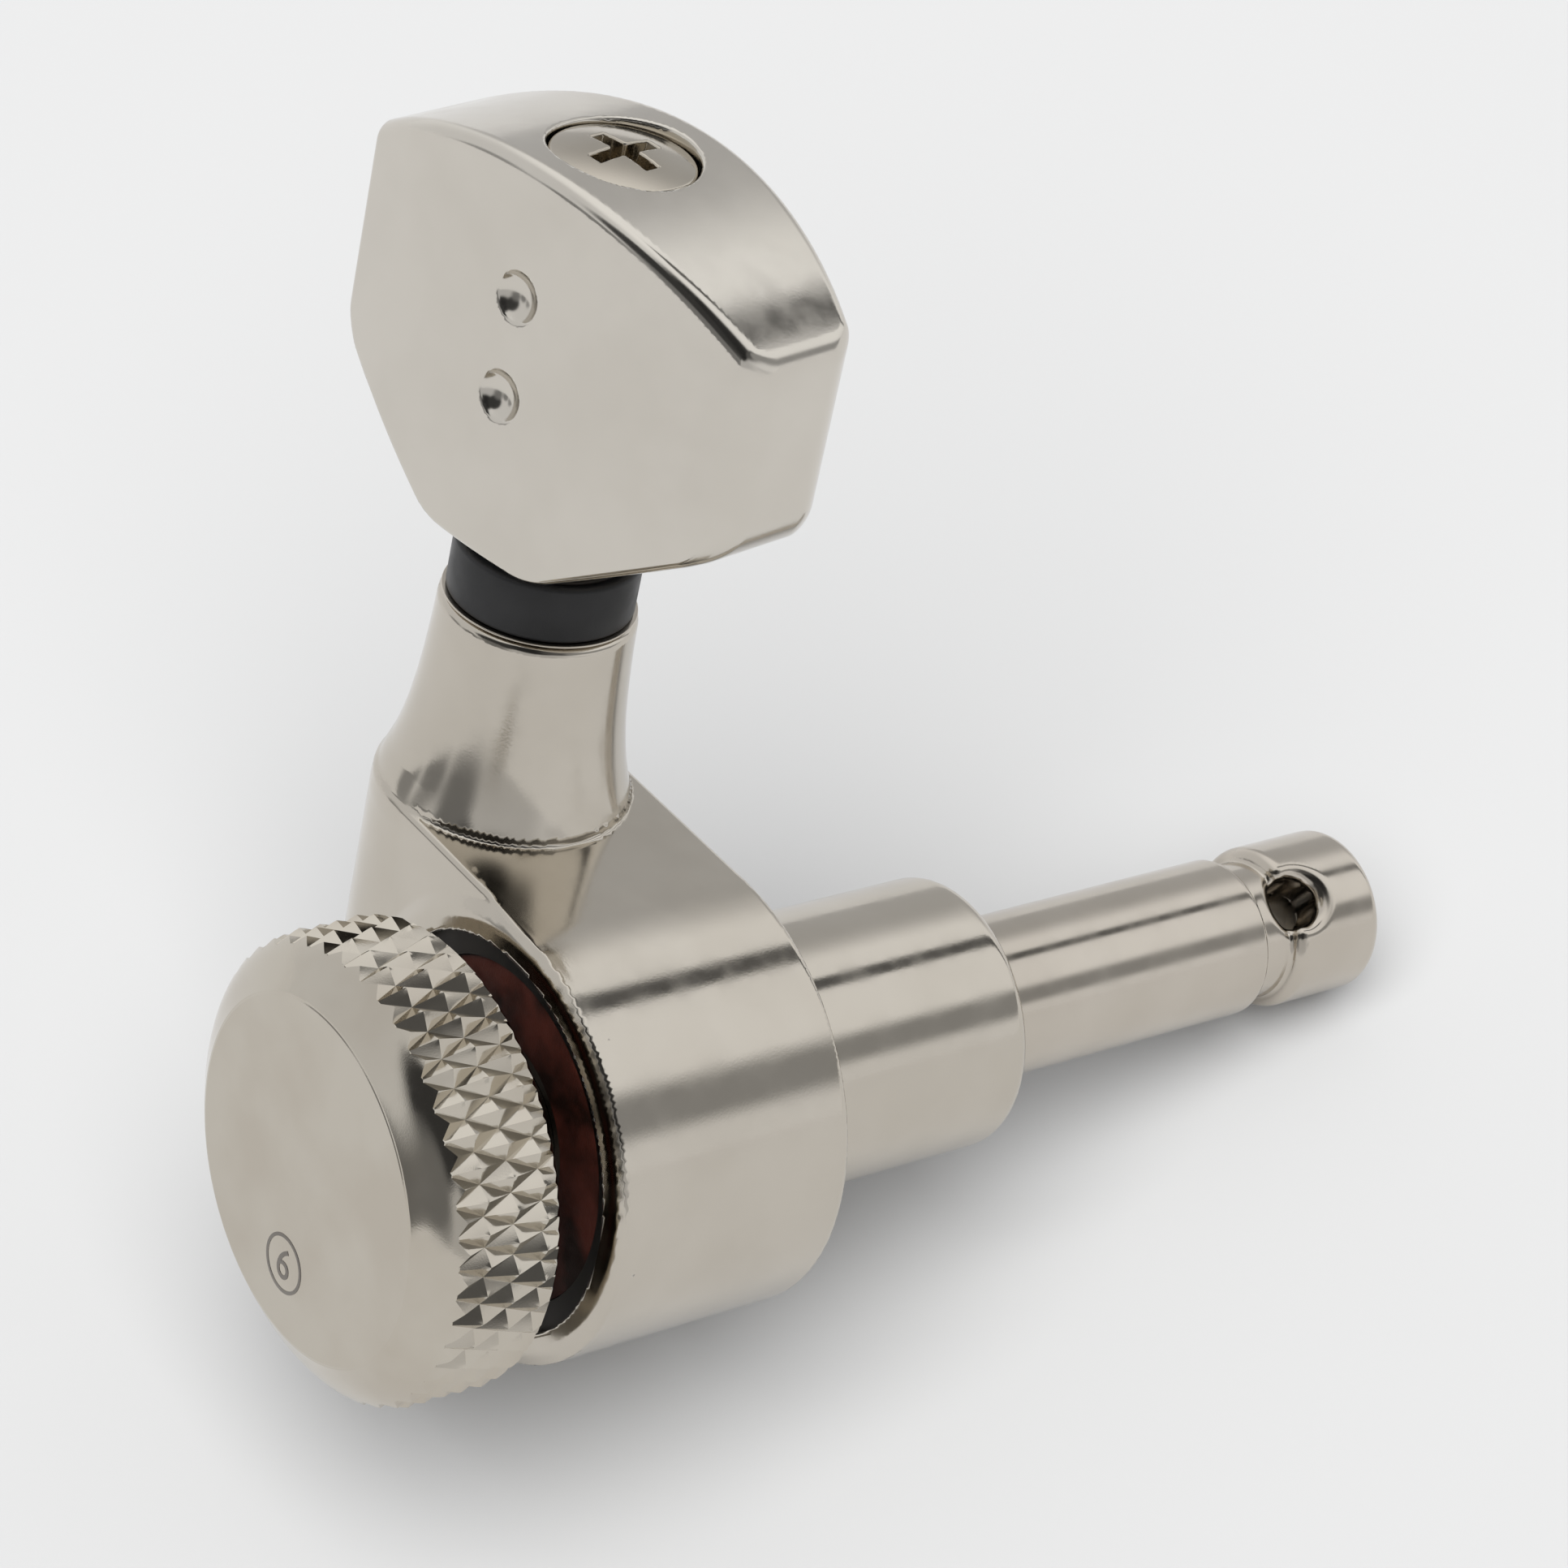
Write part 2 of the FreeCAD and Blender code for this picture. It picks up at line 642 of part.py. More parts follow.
def make_end_plug():
    """The pressed plug under the worm, with the hole that carries the shaft's foot."""
    plug = ring_z(-boss_depth, plug_top, worm_bore_radius)
    return plug.cut(ring_z(plug_top - foot_length - side_gap, plug_top + cut_overrun,
                           foot_radius + running_gap))


pieces = {
    "housing": make_housing(),
    "rear_plate": ring_x(rear_plate_rear, rear_plate_front, case_bore_radius, seat_radius + running_gap),
    "retaining_ring": make_retaining_ring(),
    "fibre_washer": ring_x(fibre_rear, rear_plate_rear, fibre_radius, fibre_radius * fibre_bore_share),
    "rear_post_bush": ring_x(-front_wall, bush_room * rear_bush_share - front_wall, barrel_bore_radius,
                             post_bush_bore),
    "front_post_bush": ring_x(front_bush_end - bush_room * front_bush_share, front_bush_end,
                              barrel_bore_radius, post_bush_bore),
    "neck_bush": ring_z(neck_top - neck_bush_length, neck_top, shaft_bush_bore + neck_bush_wall,
                        shaft_bush_bore),
    "end_plug": make_end_plug(),
    "worm_shaft": make_worm_shaft(),
    "worm_washer": ring_z(worm_washer_base, worm_bore_top, worm_tip_radius, journal_radius),
    "bright_washer": ring_z(neck_top + side_gap, nylon_base, bright_washer_radius, journal_radius),
    "nylon_washer": ring_z(nylon_base, nylon_top, nylon_radius, journal_radius),
    "wave_washer": ring_z(nylon_top, wave_top, wave_washer_radius, journal_radius),
    "button": make_button(),
    "button_screw": make_button_screw(),
    "string_post": make_string_post(),
    "worm_wheel": make_worm_wheel(),
    "wheel_clip": make_wheel_clip(),
    "thrust_washer": ring_x(wheel_front, wheel_front + thrust_washer_thickness,
                            post_radius + thrust_washer_width, post_radius),
    "lock_pin": make_lock_pin(),
    "lock_screw": make_lock_screw(),
    "thumb_wheel": make_thumb_wheel(),
    "stem_seal": make_stem_seal(),
}

os.makedirs("parts", exist_ok=True)
for name, shape in pieces.items():
    shape.exportStep("parts/" + name + ".step")
    print(name, shape.isValid(), len(shape.Solids), round(shape.Volume, 2))
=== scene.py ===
"""A guitar tuning machine, dressed for its picture.

Sizes in the classes are millimetres, in the frame of the string post. X runs along the post to its tip,
Y points from the post to the worm shaft, and Z runs up the shaft to the button. Meshes are written in
metres.
"""

import logging
import math
from dataclasses import dataclass
from enum import Enum
from itertools import combinations
from typing import Callable

import bpy
import numpy as np
from mathutils import Matrix, Vector


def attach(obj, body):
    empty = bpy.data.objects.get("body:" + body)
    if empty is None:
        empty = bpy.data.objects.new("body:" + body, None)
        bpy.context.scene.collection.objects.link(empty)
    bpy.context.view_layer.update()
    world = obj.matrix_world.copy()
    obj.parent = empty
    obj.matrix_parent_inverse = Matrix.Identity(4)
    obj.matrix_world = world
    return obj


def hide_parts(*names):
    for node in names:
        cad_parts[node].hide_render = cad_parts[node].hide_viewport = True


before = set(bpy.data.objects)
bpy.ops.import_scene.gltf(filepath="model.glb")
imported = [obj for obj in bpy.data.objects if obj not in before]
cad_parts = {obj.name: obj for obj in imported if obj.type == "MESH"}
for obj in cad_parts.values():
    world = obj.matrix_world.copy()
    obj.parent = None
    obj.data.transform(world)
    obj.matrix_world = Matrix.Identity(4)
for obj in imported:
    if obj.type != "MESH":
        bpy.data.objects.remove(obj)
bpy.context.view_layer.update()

log = logging.getLogger("tuning_machine")

Array = np.ndarray
Distance = Callable[[Array], Array]
Outline = list[tuple[float, float]]

MILLIMETRE = 0.001
FULL_TURN = 2.0 * math.pi
TINY = 1e-9

CELL_CORNERS = np.array([[i, j, k] for i in (0, 1) for j in (0, 1) for k in (0, 1)])
COARSE_STRIDE = 4
COARSE_REACH = 1.6
SLOPE_SHARE = 0.02
SETTLE_ROUNDS = 5
LEAST_SLOPE_SQUARE = 0.2
LEAST_FILLET = 1e-6

MIX_FACTOR = 0
MIX_LEVEL_A = 2
MIX_LEVEL_B = 3
MIX_COLOUR_A = 6
MIX_COLOUR_B = 7
MIX_COLOUR_RESULT = 2


class Body(Enum):
    """The bodies that pieces ride on."""

    HOUSING = "housing"
    SHAFT = "shaft"
    POST = "post"
    LOCK_PIN = "lock_pin"
    THUMB_WHEEL = "thumb_wheel"


class Axis(Enum):
    """The two axes that turned pieces are made about."""

    POST = "post"
    SHAFT = "shaft"


@dataclass(frozen=True)
class Layout:
    """Places that several sub-assemblies share.

    Attributes:
        shaft_x: Where the worm shaft's axis stands along the post.
        shaft_y: How far the worm shaft's axis stands from the post's.
        button_turn: How far the button is turned about the shaft, in degrees.
    """

    shaft_x: float = -4.5875
    shaft_y: float = 8.47
    button_turn: float = 9.5

    def from_shaft(self, points: Array) -> Array:
        """Distance of points from the worm shaft's axis."""
        return np.hypot(points[:, 0] - self.shaft_x, points[:, 1] - self.shaft_y)

    def in_button(self, points: Array) -> tuple[Array, Array, Array]:
        """Turns points into the button's own directions.

        Args:
            points: Points in the frame.

        Returns:
            Depth from front to back, width across the button, and height.
        """
        turn = math.radians(self.button_turn)
        across_x = points[:, 0] - self.shaft_x
        across_y = points[:, 1] - self.shaft_y
        depth = across_x * math.cos(turn) + across_y * math.sin(turn)
        width = across_y * math.cos(turn) - across_x * math.sin(turn)
        return depth, width, points[:, 2]


LAYOUT = Layout()


@dataclass
class Skin:
    """A closed surface, ready to become a mesh.

    Attributes:
        vertices: Corner places, in millimetres.
        quads: Corner numbers of the four-sided faces.
        triangles: Corner numbers of the three-sided faces.
        normals: A direction for each corner, or None where the faces give it.
    """

    vertices: Array
    quads: Array
    triangles: Array
    normals: Array | None = None

    def outward(self) -> "Skin":
        """Turns every face round where the surface encloses a negative volume."""
        halves = [self.triangles, self.quads[:, [0, 1, 2]], self.quads[:, [0, 2, 3]]]
        corners = self.vertices[np.concatenate(halves)]
        volume = np.einsum("ij,ij->i", corners[:, 0], np.cross(corners[:, 1], corners[:, 2])).sum()
        if volume < 0.0:
            self.quads = self.quads[:, ::-1]
            self.triangles = self.triangles[:, ::-1]
        return self

    def piece(self, name: str, crease_degrees: float = 30.0) -> bpy.types.Object:
        """Makes the mesh object.

        Args:
            name: The piece's name.
            crease_degrees: Edges that turn more than this stay sharp, where no normals are given.

        Returns:
            The new object, at the origin, in metres.
        """
        mesh = bpy.data.meshes.new(name)
        loops = np.concatenate([self.quads.ravel(), self.triangles.ravel()]).astype(np.int32)
        sizes = np.repeat([4, 3], [len(self.quads), len(self.triangles)]).astype(np.int32)
        mesh.vertices.add(len(self.vertices))
        mesh.loops.add(len(loops))
        mesh.polygons.add(len(sizes))
        mesh.vertices.foreach_set("co", (self.vertices * MILLIMETRE).astype(np.float32).ravel())
        mesh.loops.foreach_set("vertex_index", loops)
        mesh.polygons.foreach_set("loop_start", np.concatenate([[0], np.cumsum(sizes)[:-1]]).astype(np.int32))
        mesh.polygons.foreach_set("use_smooth", np.ones(len(sizes), dtype=bool))
        mesh.update(calc_edges=True)
        mesh.validate()
        if self.normals is None:
            mesh.set_sharp_from_angle(angle=math.radians(crease_degrees))
        else:
            mesh.normals_split_custom_set_from_vertices(self.normals.tolist())
        made = bpy.data.objects.new(name, mesh)
        bpy.context.scene.collection.objects.link(made)
        return made


def fillet_union(first: Array, second: Array, radius: float | Array) -> Array:
    """Joins two shapes and fills the corner between them with an arc.

    With a and b the two distances, it is the larger of r and min(a, b), less the length of the pair of
    max(r - a, 0) and max(r - b, 0).

    Args:
        first: Distances to the first shape, negative inside.
        second: Distances to the second shape.
        radius: Radius of the fillet.

    Returns:
        Distances to the joined shape.
    """
    reach = np.hypot(np.maximum(radius - first, 0.0), np.maximum(radius - second, 0.0))
    return np.maximum(np.minimum(first, second), radius) - reach


def rounded_overlap(first: Array, second: Array, radius: float | Array) -> Array:
    """Keeps what is in both shapes and rounds the edge between them with an arc.

    With a and b the two distances, it is the smaller of -r and max(a, b), plus the length of the pair of
    max(r + a, 0) and max(r + b, 0).

    Args:
        first: Distances to the first shape, negative inside.
        second: Distances to the second shape.
        radius: Radius of the edge.

    Returns:
        Distances to what both shapes share.
    """
    reach = np.hypot(np.maximum(radius + first, 0.0), np.maximum(radius + second, 0.0))
    return np.minimum(np.maximum(first, second), -radius) + reach


def eased(share: Array) -> Array:
    """Turns a share into one that starts and ends softly: with t from 0 to 1, t squared times 3 - 2 t."""
    share = np.clip(share, 0.0, 1.0)
    return share * share * (3.0 - 2.0 * share)


def rounded_cut(body: Array, cutter: Array, radius: float) -> Array:
    """Takes the cutter out of the body and rounds the mouth it leaves."""
    return rounded_overlap(body, -cutter, radius)


def lattice(axes: list[Array]) -> Array:
    """All points of a box lattice as rows of three."""
    grids = np.meshgrid(*axes, indexing="ij")
    return np.stack([grid.ravel() for grid in grids], axis=1)


def gradient(distance: Distance, points: Array, step: float) -> Array:
    """The slope of a distance along each axis, from values a step to each side."""
    slopes = []
    for axis in range(3):
        shift = np.zeros(3)
        shift[axis] = step
        slopes.append((distance(points + shift) - distance(points - shift)) / (2.0 * step))
    return np.stack(slopes, axis=1)


def sampled(distance: Distance, axes: list[Array], cell: float) -> Array:
    """Distances at all points of a lattice, exact near the surface and coarse elsewhere.

    Args:
        distance: Distance to the shape, negative inside, for rows of points.
        axes: Places of the lattice along each axis.
        cell: Size of a cell.

    Returns:
        The distances, in the lattice's layout.
    """
    coarse_axes = [axis[::COARSE_STRIDE] for axis in axes]
    coarse = distance(lattice(coarse_axes)).reshape([len(axis) for axis in coarse_axes])
    nearest = []
    for axis, coarse_axis in zip(axes, coarse_axes):
        beside = (np.arange(len(axis)) + COARSE_STRIDE // 2) // COARSE_STRIDE
        nearest.append(np.minimum(beside, len(coarse_axis) - 1))
    values = coarse[np.ix_(*nearest)]
    near = np.abs(values) < COARSE_STRIDE * cell * COARSE_REACH
    where = np.argwhere(near)
    values[near] = distance(np.stack([axes[k][where[:, k]] for k in range(3)], axis=1))
    return values


def crossing_means(values: Array, cells: Array) -> Array:
    """The mean of the places where the distance is zero on a cell's edges.

    Args:
        values: Distances at the lattice's points.
        cells: Numbers of the cells that the surface passes through.

    Returns:
        One place for each cell, counted in cells from its lowest corner.
    """
    at_corners = np.stack([values[tuple((cells + corner).T)] for corner in CELL_CORNERS], axis=1)
    places = np.zeros((len(cells), 3))
    crossings = np.zeros((len(cells), 1))
    for a, b in combinations(range(len(CELL_CORNERS)), 2):
        along = CELL_CORNERS[b] - CELL_CORNERS[a]
        if np.abs(along).sum() != 1:
            continue
        crosses = (at_corners[:, a] < 0.0) != (at_corners[:, b] < 0.0)
        share = at_corners[:, a] / np.where(crosses, at_corners[:, a] - at_corners[:, b], 1.0)
        places += (CELL_CORNERS[a] + share[:, None] * along) * crosses[:, None]
        crossings += crosses[:, None]
    return places / crossings


def faces_between(inside: Array, number: Array) -> Array:
    """Makes one face for each lattice edge that crosses the surface.

    Args:
        inside: True at the lattice's points inside the shape.
        number: The number of each cell's corner of the surface.

    Returns:
        Corner numbers of the faces, each between the four cells round its edge and facing outward.
    """
    quads = []
    for axis in range(3):
        step_one = np.eye(3, dtype=int)[(axis + 1) % 3]
        step_two = np.eye(3, dtype=int)[(axis + 2) % 3]
        lower = np.take(inside, range(inside.shape[axis] - 1), axis=axis)
        upper = np.take(inside, range(1, inside.shape[axis]), axis=axis)
        edge = np.argwhere(lower != upper)
        round_edge = [edge, edge - step_one, edge - step_one - step_two, edge - step_two]
        face = np.stack([number[tuple(spot.T)] for spot in round_edge], axis=1)
        leaves = lower[tuple(edge.T)]
        quads.append(np.where(leaves[:, None], face, face[:, ::-1]))
    return np.concatenate(quads)


def settled(distance: Distance, vertices: Array, cell: float) -> tuple[Array, Array]:
    """Moves corners onto the surface, along the slope of the distance.

    Each move is the distance divided by the slope squared, times the slope, and at most half a cell.

    Args:
        distance: Distance to the shape, negative inside, for rows of points.
        vertices: Corners near the surface.
        cell: Size of a cell.

    Returns:
        The corners on the surface, and their normals.
    """
    step = cell * SLOPE_SHARE
    for _ in range(SETTLE_ROUNDS):
        slope = gradient(distance, vertices, step)
        square = np.maximum((slope ** 2).sum(axis=1), LEAST_SLOPE_SQUARE)
        move = (distance(vertices) / square)[:, None] * slope
        length = np.linalg.norm(move, axis=1, keepdims=True)
        vertices = vertices - move * np.minimum(1.0, 0.5 * cell / np.maximum(length, TINY))
    slope = gradient(distance, vertices, step)
    return vertices, slope / np.maximum(np.linalg.norm(slope, axis=1, keepdims=True), TINY)


def skin_of(distance: Distance, low: tuple, high: tuple, cell: float) -> Skin:
    """Wraps a surface round a shape that is given by its distance.

    The space is cut into cells. Each cell that the surface passes through gets one corner, and each lattice
    edge that crosses the surface gets one face between its four cells. The corners are then moved onto the
    surface, and the slope of the distance there is their normal.

    Args:
        distance: Distance to the shape, negative inside, for rows of points.
        low: Lowest corner of the space.
        high: Highest corner of the space.
        cell: Size of a cell.

    Returns:
        The wrapped surface with its normals.
    """
    axes = [np.arange(a - 2.0 * cell, b + 3.0 * cell, cell) for a, b in zip(low, high)]
    values = sampled(distance, axes, cell)
    inside = values < 0.0
    total = np.zeros([n - 1 for n in inside.shape], dtype=np.int8)
    for i, j, k in CELL_CORNERS:
        total += inside[i:i + total.shape[0], j:j + total.shape[1], k:k + total.shape[2]]
    cells = np.argwhere((total > 0) & (total < len(CELL_CORNERS)))
    start = np.array([axis[0] for axis in axes])
    corners = start + (cells + crossing_means(values, cells)) * cell
    number = np.full(total.shape, -1)
    number[tuple(cells.T)] = np.arange(len(cells))
    vertices, normals = settled(distance, corners, cell)
    return Skin(vertices, faces_between(inside, number), np.zeros((0, 3), dtype=int), normals)


def turned_skin(along: Array, radius: Array, axis: Axis, loop: bool = False, start: float = 0.0) -> Skin:
    """A surface turned about the post's or the shaft's axis.

    The point of ring i at angle t lies along[i, t] along the axis and radius[i, t] from it, at cos t and
    sin t of the two directions across. Unless the rings form a loop, one pole closes each end.

    Args:
        along: Places along the axis, one row a ring and one column an angle.
        radius: Distances from the axis, in the same layout.
        axis: Which axis the surface turns about.
        loop: True where the last ring joins the first, as on a washer.
        start: The angle of the first column.

    Returns:
        The closed surface.
    """
    rings, count = radius.shape
    angle = start + np.arange(count) / count * FULL_TURN
    across_one = radius * np.cos(angle)
    across_two = radius * np.sin(angle)
    if axis is Axis.POST:
        points = np.stack([along, across_one, across_two], axis=2)
    else:
        points = np.stack([LAYOUT.shaft_x + across_one, LAYOUT.shaft_y + across_two, along], axis=2)
    ids = np.arange(rings * count).reshape(rings, count)
    following = np.roll(ids, -1, axis=1)
    last = rings if loop else rings - 1
    here = ids[:last]
    there = np.roll(ids, -1, axis=0)[:last]
    here_next = following[:last]
    there_next = np.roll(following, -1, axis=0)[:last]
    quads = np.stack([here, here_next, there_next, there], axis=2).reshape(-1, 4)
    vertices = points.reshape(-1, 3)
    triangles = np.zeros((0, 3), dtype=int)
    if not loop:
        poles = vertices.reshape(rings, count, 3)[[0, -1]].mean(axis=1)
        first, second = len(vertices), len(vertices) + 1
        vertices = np.concatenate([vertices, poles])
        start_fan = np.stack([np.full(count, first), following[0], ids[0]], axis=1)
        end_fan = np.stack([np.full(count, second), ids[-1], following[-1]], axis=1)
        triangles = np.concatenate([start_fan, end_fan])
    return Skin(vertices, quads, triangles).outward()


def turned(profile: Outline, axis: Axis, count: int, loop: bool = False) -> Skin:
    """Turns a plain outline, given as places along the axis with a radius each."""
    outline = np.array(profile)
    along = np.repeat(outline[:, :1], count, axis=1)
    radius = np.repeat(outline[:, 1:], count, axis=1)
    return turned_skin(along, radius, axis, loop)


def corner_arc(along: float, radius: float, size: float, quarter: int, steps: int = 5) -> Outline:
    """Points of a quarter round at the corner of an outline.

    Args:
        along: The corner's place along the axis.
        radius: The corner's distance from the axis.
        size: Radius of the round.
        quarter: 0 for a corner at low along and high radius, then on clockwise: 1 high and high, 2 high and
            low, 3 low and low.
        steps: How many stretches the round has.

    Returns:
        Places along the axis with a radius each, in clockwise order.
    """
    sign_along = (1, -1, -1, 1)[quarter]
    sign_radius = (-1, -1, 1, 1)[quarter]
    centre_along = along + sign_along * size
    centre_radius = radius + sign_radius * size
    first = math.radians((180, 90, 0, 270)[quarter])
    points = []
    for k in range(steps + 1):
        angle = first - math.pi / 2.0 * k / steps
        points.append((centre_along + size * math.cos(angle), centre_radius + size * math.sin(angle)))
    return points


def rounded_ring(low: float, high: float, outer: float, inner: float, size: float) -> Outline:
    """The outline of a ring with four rounded corners."""
    outline = corner_arc(low, outer, size, 0) + corner_arc(high, outer, size, 1)
    return outline + corner_arc(high, inner, size, 2) + corner_arc(low, inner, size, 3)


@dataclass(frozen=True)
class Finish:
    """How a surface looks.

    Attributes:
        name: Name of the material.
        slot: The record's material slot; not used.
        colour: Main colour.
        second_colour: The colour it drifts to in soft patches.
        metallic: 1 for bare metal.
        roughness: Mean roughness.
        roughness_spread: How far the roughness drifts to each side.
        patch: Size of the soft patches.
        grain: Size of the fine grain.
        grain_height: Height of the fine grain.
        swell: Size of the slow waves in the surface.
        swell_height: Height of the slow waves.
        gloss: Strength of the mirror part where the surface isn't metal.
        lathe_axis: The axis whose fine turning lines the surface shows, or None.
        draw_out: Scale of the turning lines round the axis, against 1 along it.
        smear_share: Size of the smears in the roughness, as a share of the patches.
    """

    name: str
    slot: str
    colour: tuple[float, float, float]
    second_colour: tuple[float, float, float]
    metallic: float = 1.0
    roughness: float = 0.15
    roughness_spread: float = 0.04
    patch: float = 4.0
    grain: float = 0.06
    grain_height: float = 0.0006
    swell: float = 1.2
    swell_height: float = 0.0
    gloss: float = 0.5
    lathe_axis: Axis | None = None
    draw_out: float = 0.02
    smear_share: float = 0.3

    def noise(self, tree: bpy.types.NodeTree, size: float, detail: float,
              squeeze: bool = False) -> bpy.types.NodeSocket:
        """Adds a noise on the piece's own coordinates.

        Args:
            tree: The material's nodes.
            size: Size of its features.
            detail: How many finer layers it has.
            squeeze: True where the pattern is drawn out round the lathe's axis.

        Returns:
            The noise's value.
        """
        place = tree.nodes.new("ShaderNodeTexCoord").outputs["Object"]
        if squeeze:
            mapping = tree.nodes.new("ShaderNodeMapping")
            drawn = self.draw_out
            scale = (1.0, drawn, drawn) if self.lathe_axis is Axis.POST else (drawn, drawn, 1.0)
            mapping.inputs["Scale"].default_value = scale
            tree.links.new(place, mapping.inputs["Vector"])
            place = mapping.outputs["Vector"]
        node = tree.nodes.new("ShaderNodeTexNoise")
        node.inputs["Scale"].default_value = 1.0 / (size * MILLIMETRE)
        node.inputs["Detail"].default_value = detail
        tree.links.new(place, node.inputs["Vector"])
        return node.outputs["Fac"]

    def drift(self, tree: bpy.types.NodeTree, value: bpy.types.NodeSocket, spread: float, low: float,
              high: float) -> bpy.types.NodeSocket:
        """Stretches the middle of a noise over a span.

        Args:
            tree: The material's nodes.
            value: The noise.
            spread: How far from the noise's middle the span's ends are reached.
            low: Lowest value of the span.
            high: Highest value of the span.

        Returns:
            The stretched value.
        """
        node = tree.nodes.new("ShaderNodeMapRange")
        node.inputs["From Min"].default_value = 0.5 - spread
        node.inputs["From Max"].default_value = 0.5 + spread
        node.inputs["To Min"].default_value = low
        node.inputs["To Max"].default_value = high
        tree.links.new(value, node.inputs["Value"])
        return node.outputs["Result"]

    def bump(self, tree: bpy.types.NodeTree, height: float,
             value: bpy.types.NodeSocket) -> bpy.types.ShaderNode:
        """Adds a bump that is as high as given, in millimetres, and returns its node."""
        node = tree.nodes.new("ShaderNodeBump")
        node.inputs["Distance"].default_value = height * MILLIMETRE
        tree.links.new(value, node.inputs["Height"])
        return node

    def material(self) -> bpy.types.Material:
        """Makes the material, or returns the one that is there already."""
        made = bpy.data.materials.get(self.name)
        if made is not None:
            return made
        made = bpy.data.materials.new(self.name)
        made.use_nodes = True
        tree = made.node_tree
        shader = tree.nodes["Principled BSDF"]
        shader.inputs["Metallic"].default_value = self.metallic
        shader.inputs["Specular IOR Level"].default_value = self.gloss

        tint = tree.nodes.new("ShaderNodeMix")
        tint.data_type = "RGBA"
        tint.inputs[MIX_COLOUR_A].default_value = (*self.colour, 1.0)
        tint.inputs[MIX_COLOUR_B].default_value = (*self.second_colour, 1.0)
        patches = self.noise(tree, self.patch, 3.0)
        tree.links.new(self.drift(tree, patches, 0.12, 0.0, 1.0), tint.inputs[MIX_FACTOR])
        tree.links.new(tint.outputs[MIX_COLOUR_RESULT], shader.inputs["Base Color"])

        smears = self.noise(tree, self.patch * self.smear_share, 4.0)
        rough = self.drift(tree, smears, 0.15, self.roughness - self.roughness_spread,
                           self.roughness + self.roughness_spread)
        tree.links.new(rough, shader.inputs["Roughness"])

        specks = self.noise(tree, self.grain, 2.0, squeeze=self.lathe_axis is not None)
        grain = self.bump(tree, self.grain_height, specks)
        if self.swell_height > 0.0:
            swell = self.bump(tree, self.swell_height, self.noise(tree, self.swell, 1.0))
            tree.links.new(swell.outputs["Normal"], grain.inputs["Normal"])
        tree.links.new(grain.outputs["Normal"], shader.inputs["Normal"])
        return made

    def dress(self, piece: bpy.types.Object) -> None:
        """Puts the material on a piece."""
        piece.data.materials.clear()
        piece.data.materials.append(self.material())


NICKEL_CAST = Finish(
    "nickel_cast", "nickel", (0.56, 0.52, 0.455), (0.535, 0.495, 0.43), roughness=0.13, grain=0.09,
    grain_height=0.0009, swell=1.1, swell_height=0.0012)
NICKEL_TURNED = Finish(
    "nickel_turned", "nickel", (0.56, 0.515, 0.45), (0.53, 0.485, 0.42), roughness=0.16, grain=0.03,
    grain_height=0.0003, lathe_axis=Axis.POST)
NICKEL_BUTTON = Finish(
    "nickel_button", "nickel", (0.64, 0.605, 0.545), (0.615, 0.58, 0.52), roughness=0.15, grain=0.12,
    grain_height=0.0006, swell=2.5, swell_height=0.0015)
NICKEL_KNURL = Finish(
    "plated_knurl", "nickel_knurl", (0.55, 0.51, 0.44), (0.51, 0.465, 0.395), roughness=0.11, grain=0.05,
    grain_height=0.0010)
NICKEL_ETCHED = Finish(
    "nickel_etched", "nickel_knurl", (0.28, 0.26, 0.235), (0.22, 0.20, 0.18), roughness=0.45, grain=0.02,
    grain_height=0.002)
NYLON = Finish(
    "black_nylon", "nylon", (0.007, 0.007, 0.0075), (0.010, 0.010, 0.0105), metallic=0.0, roughness=0.42,
    roughness_spread=0.06, grain=0.05, grain_height=0.003, gloss=0.32)
BRASS = Finish(
    "cut_brass", "brass", (0.72, 0.50, 0.22), (0.62, 0.42, 0.18), roughness=0.26, grain=0.05)
BRONZE = Finish(
    "sintered_bronze", "bronze", (0.45, 0.28, 0.15), (0.32, 0.20, 0.11), roughness=0.4, grain=0.05,
    grain_height=0.004)
STEEL = Finish(
    "ground_steel", "steel", (0.46, 0.46, 0.46), (0.38, 0.38, 0.385), roughness=0.24, grain=0.04)
# Dark steel for the rear plate, retaining ring and wave spring. Its colour is darker than the metal's own, as
# painted shade for the recess behind the thumb wheel.
DARK_STEEL_AND_SHADE = Finish(
    "blackened_steel_and_shade", "dark_steel", (0.018, 0.016, 0.015), (0.030, 0.026, 0.023), roughness=0.4,
    grain=0.05, grain_height=0.002)
# Red fibre darkened almost to black: the washer's own red tone, with painted shade for the recess behind the
# thumb wheel laid into the colour.
FIBRE_AND_SHADE = Finish(
    "red_fibre_and_shade", "fibre", (0.008, 0.003, 0.002), (0.048, 0.012, 0.008), metallic=0.0, roughness=0.5,
    roughness_spread=0.08, patch=2.2, grain=0.08, grain_height=0.006, gloss=0.08)
RUBBER = Finish(
    "black_rubber", "rubber", (0.018, 0.018, 0.018), (0.028, 0.028, 0.028), metallic=0.0, roughness=0.6,
    grain=0.06, grain_height=0.003)


def seat(piece: bpy.types.Object, finish: Finish, body: Body, *nodes: str) -> None:
    """Finishes a new piece: its material, the body it rides on and the nodes it stands for.

    Args:
        piece: The new piece.
        finish: What it is dressed in.
        body: The body it moves with.
        *nodes: The nodes that it replaces.
    """
    finish.dress(piece)
    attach(piece, body.value)
    if nodes:
        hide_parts(*nodes)
    log.info("%s: %d faces, on %s", piece.name, len(piece.data.polygons), body.value)


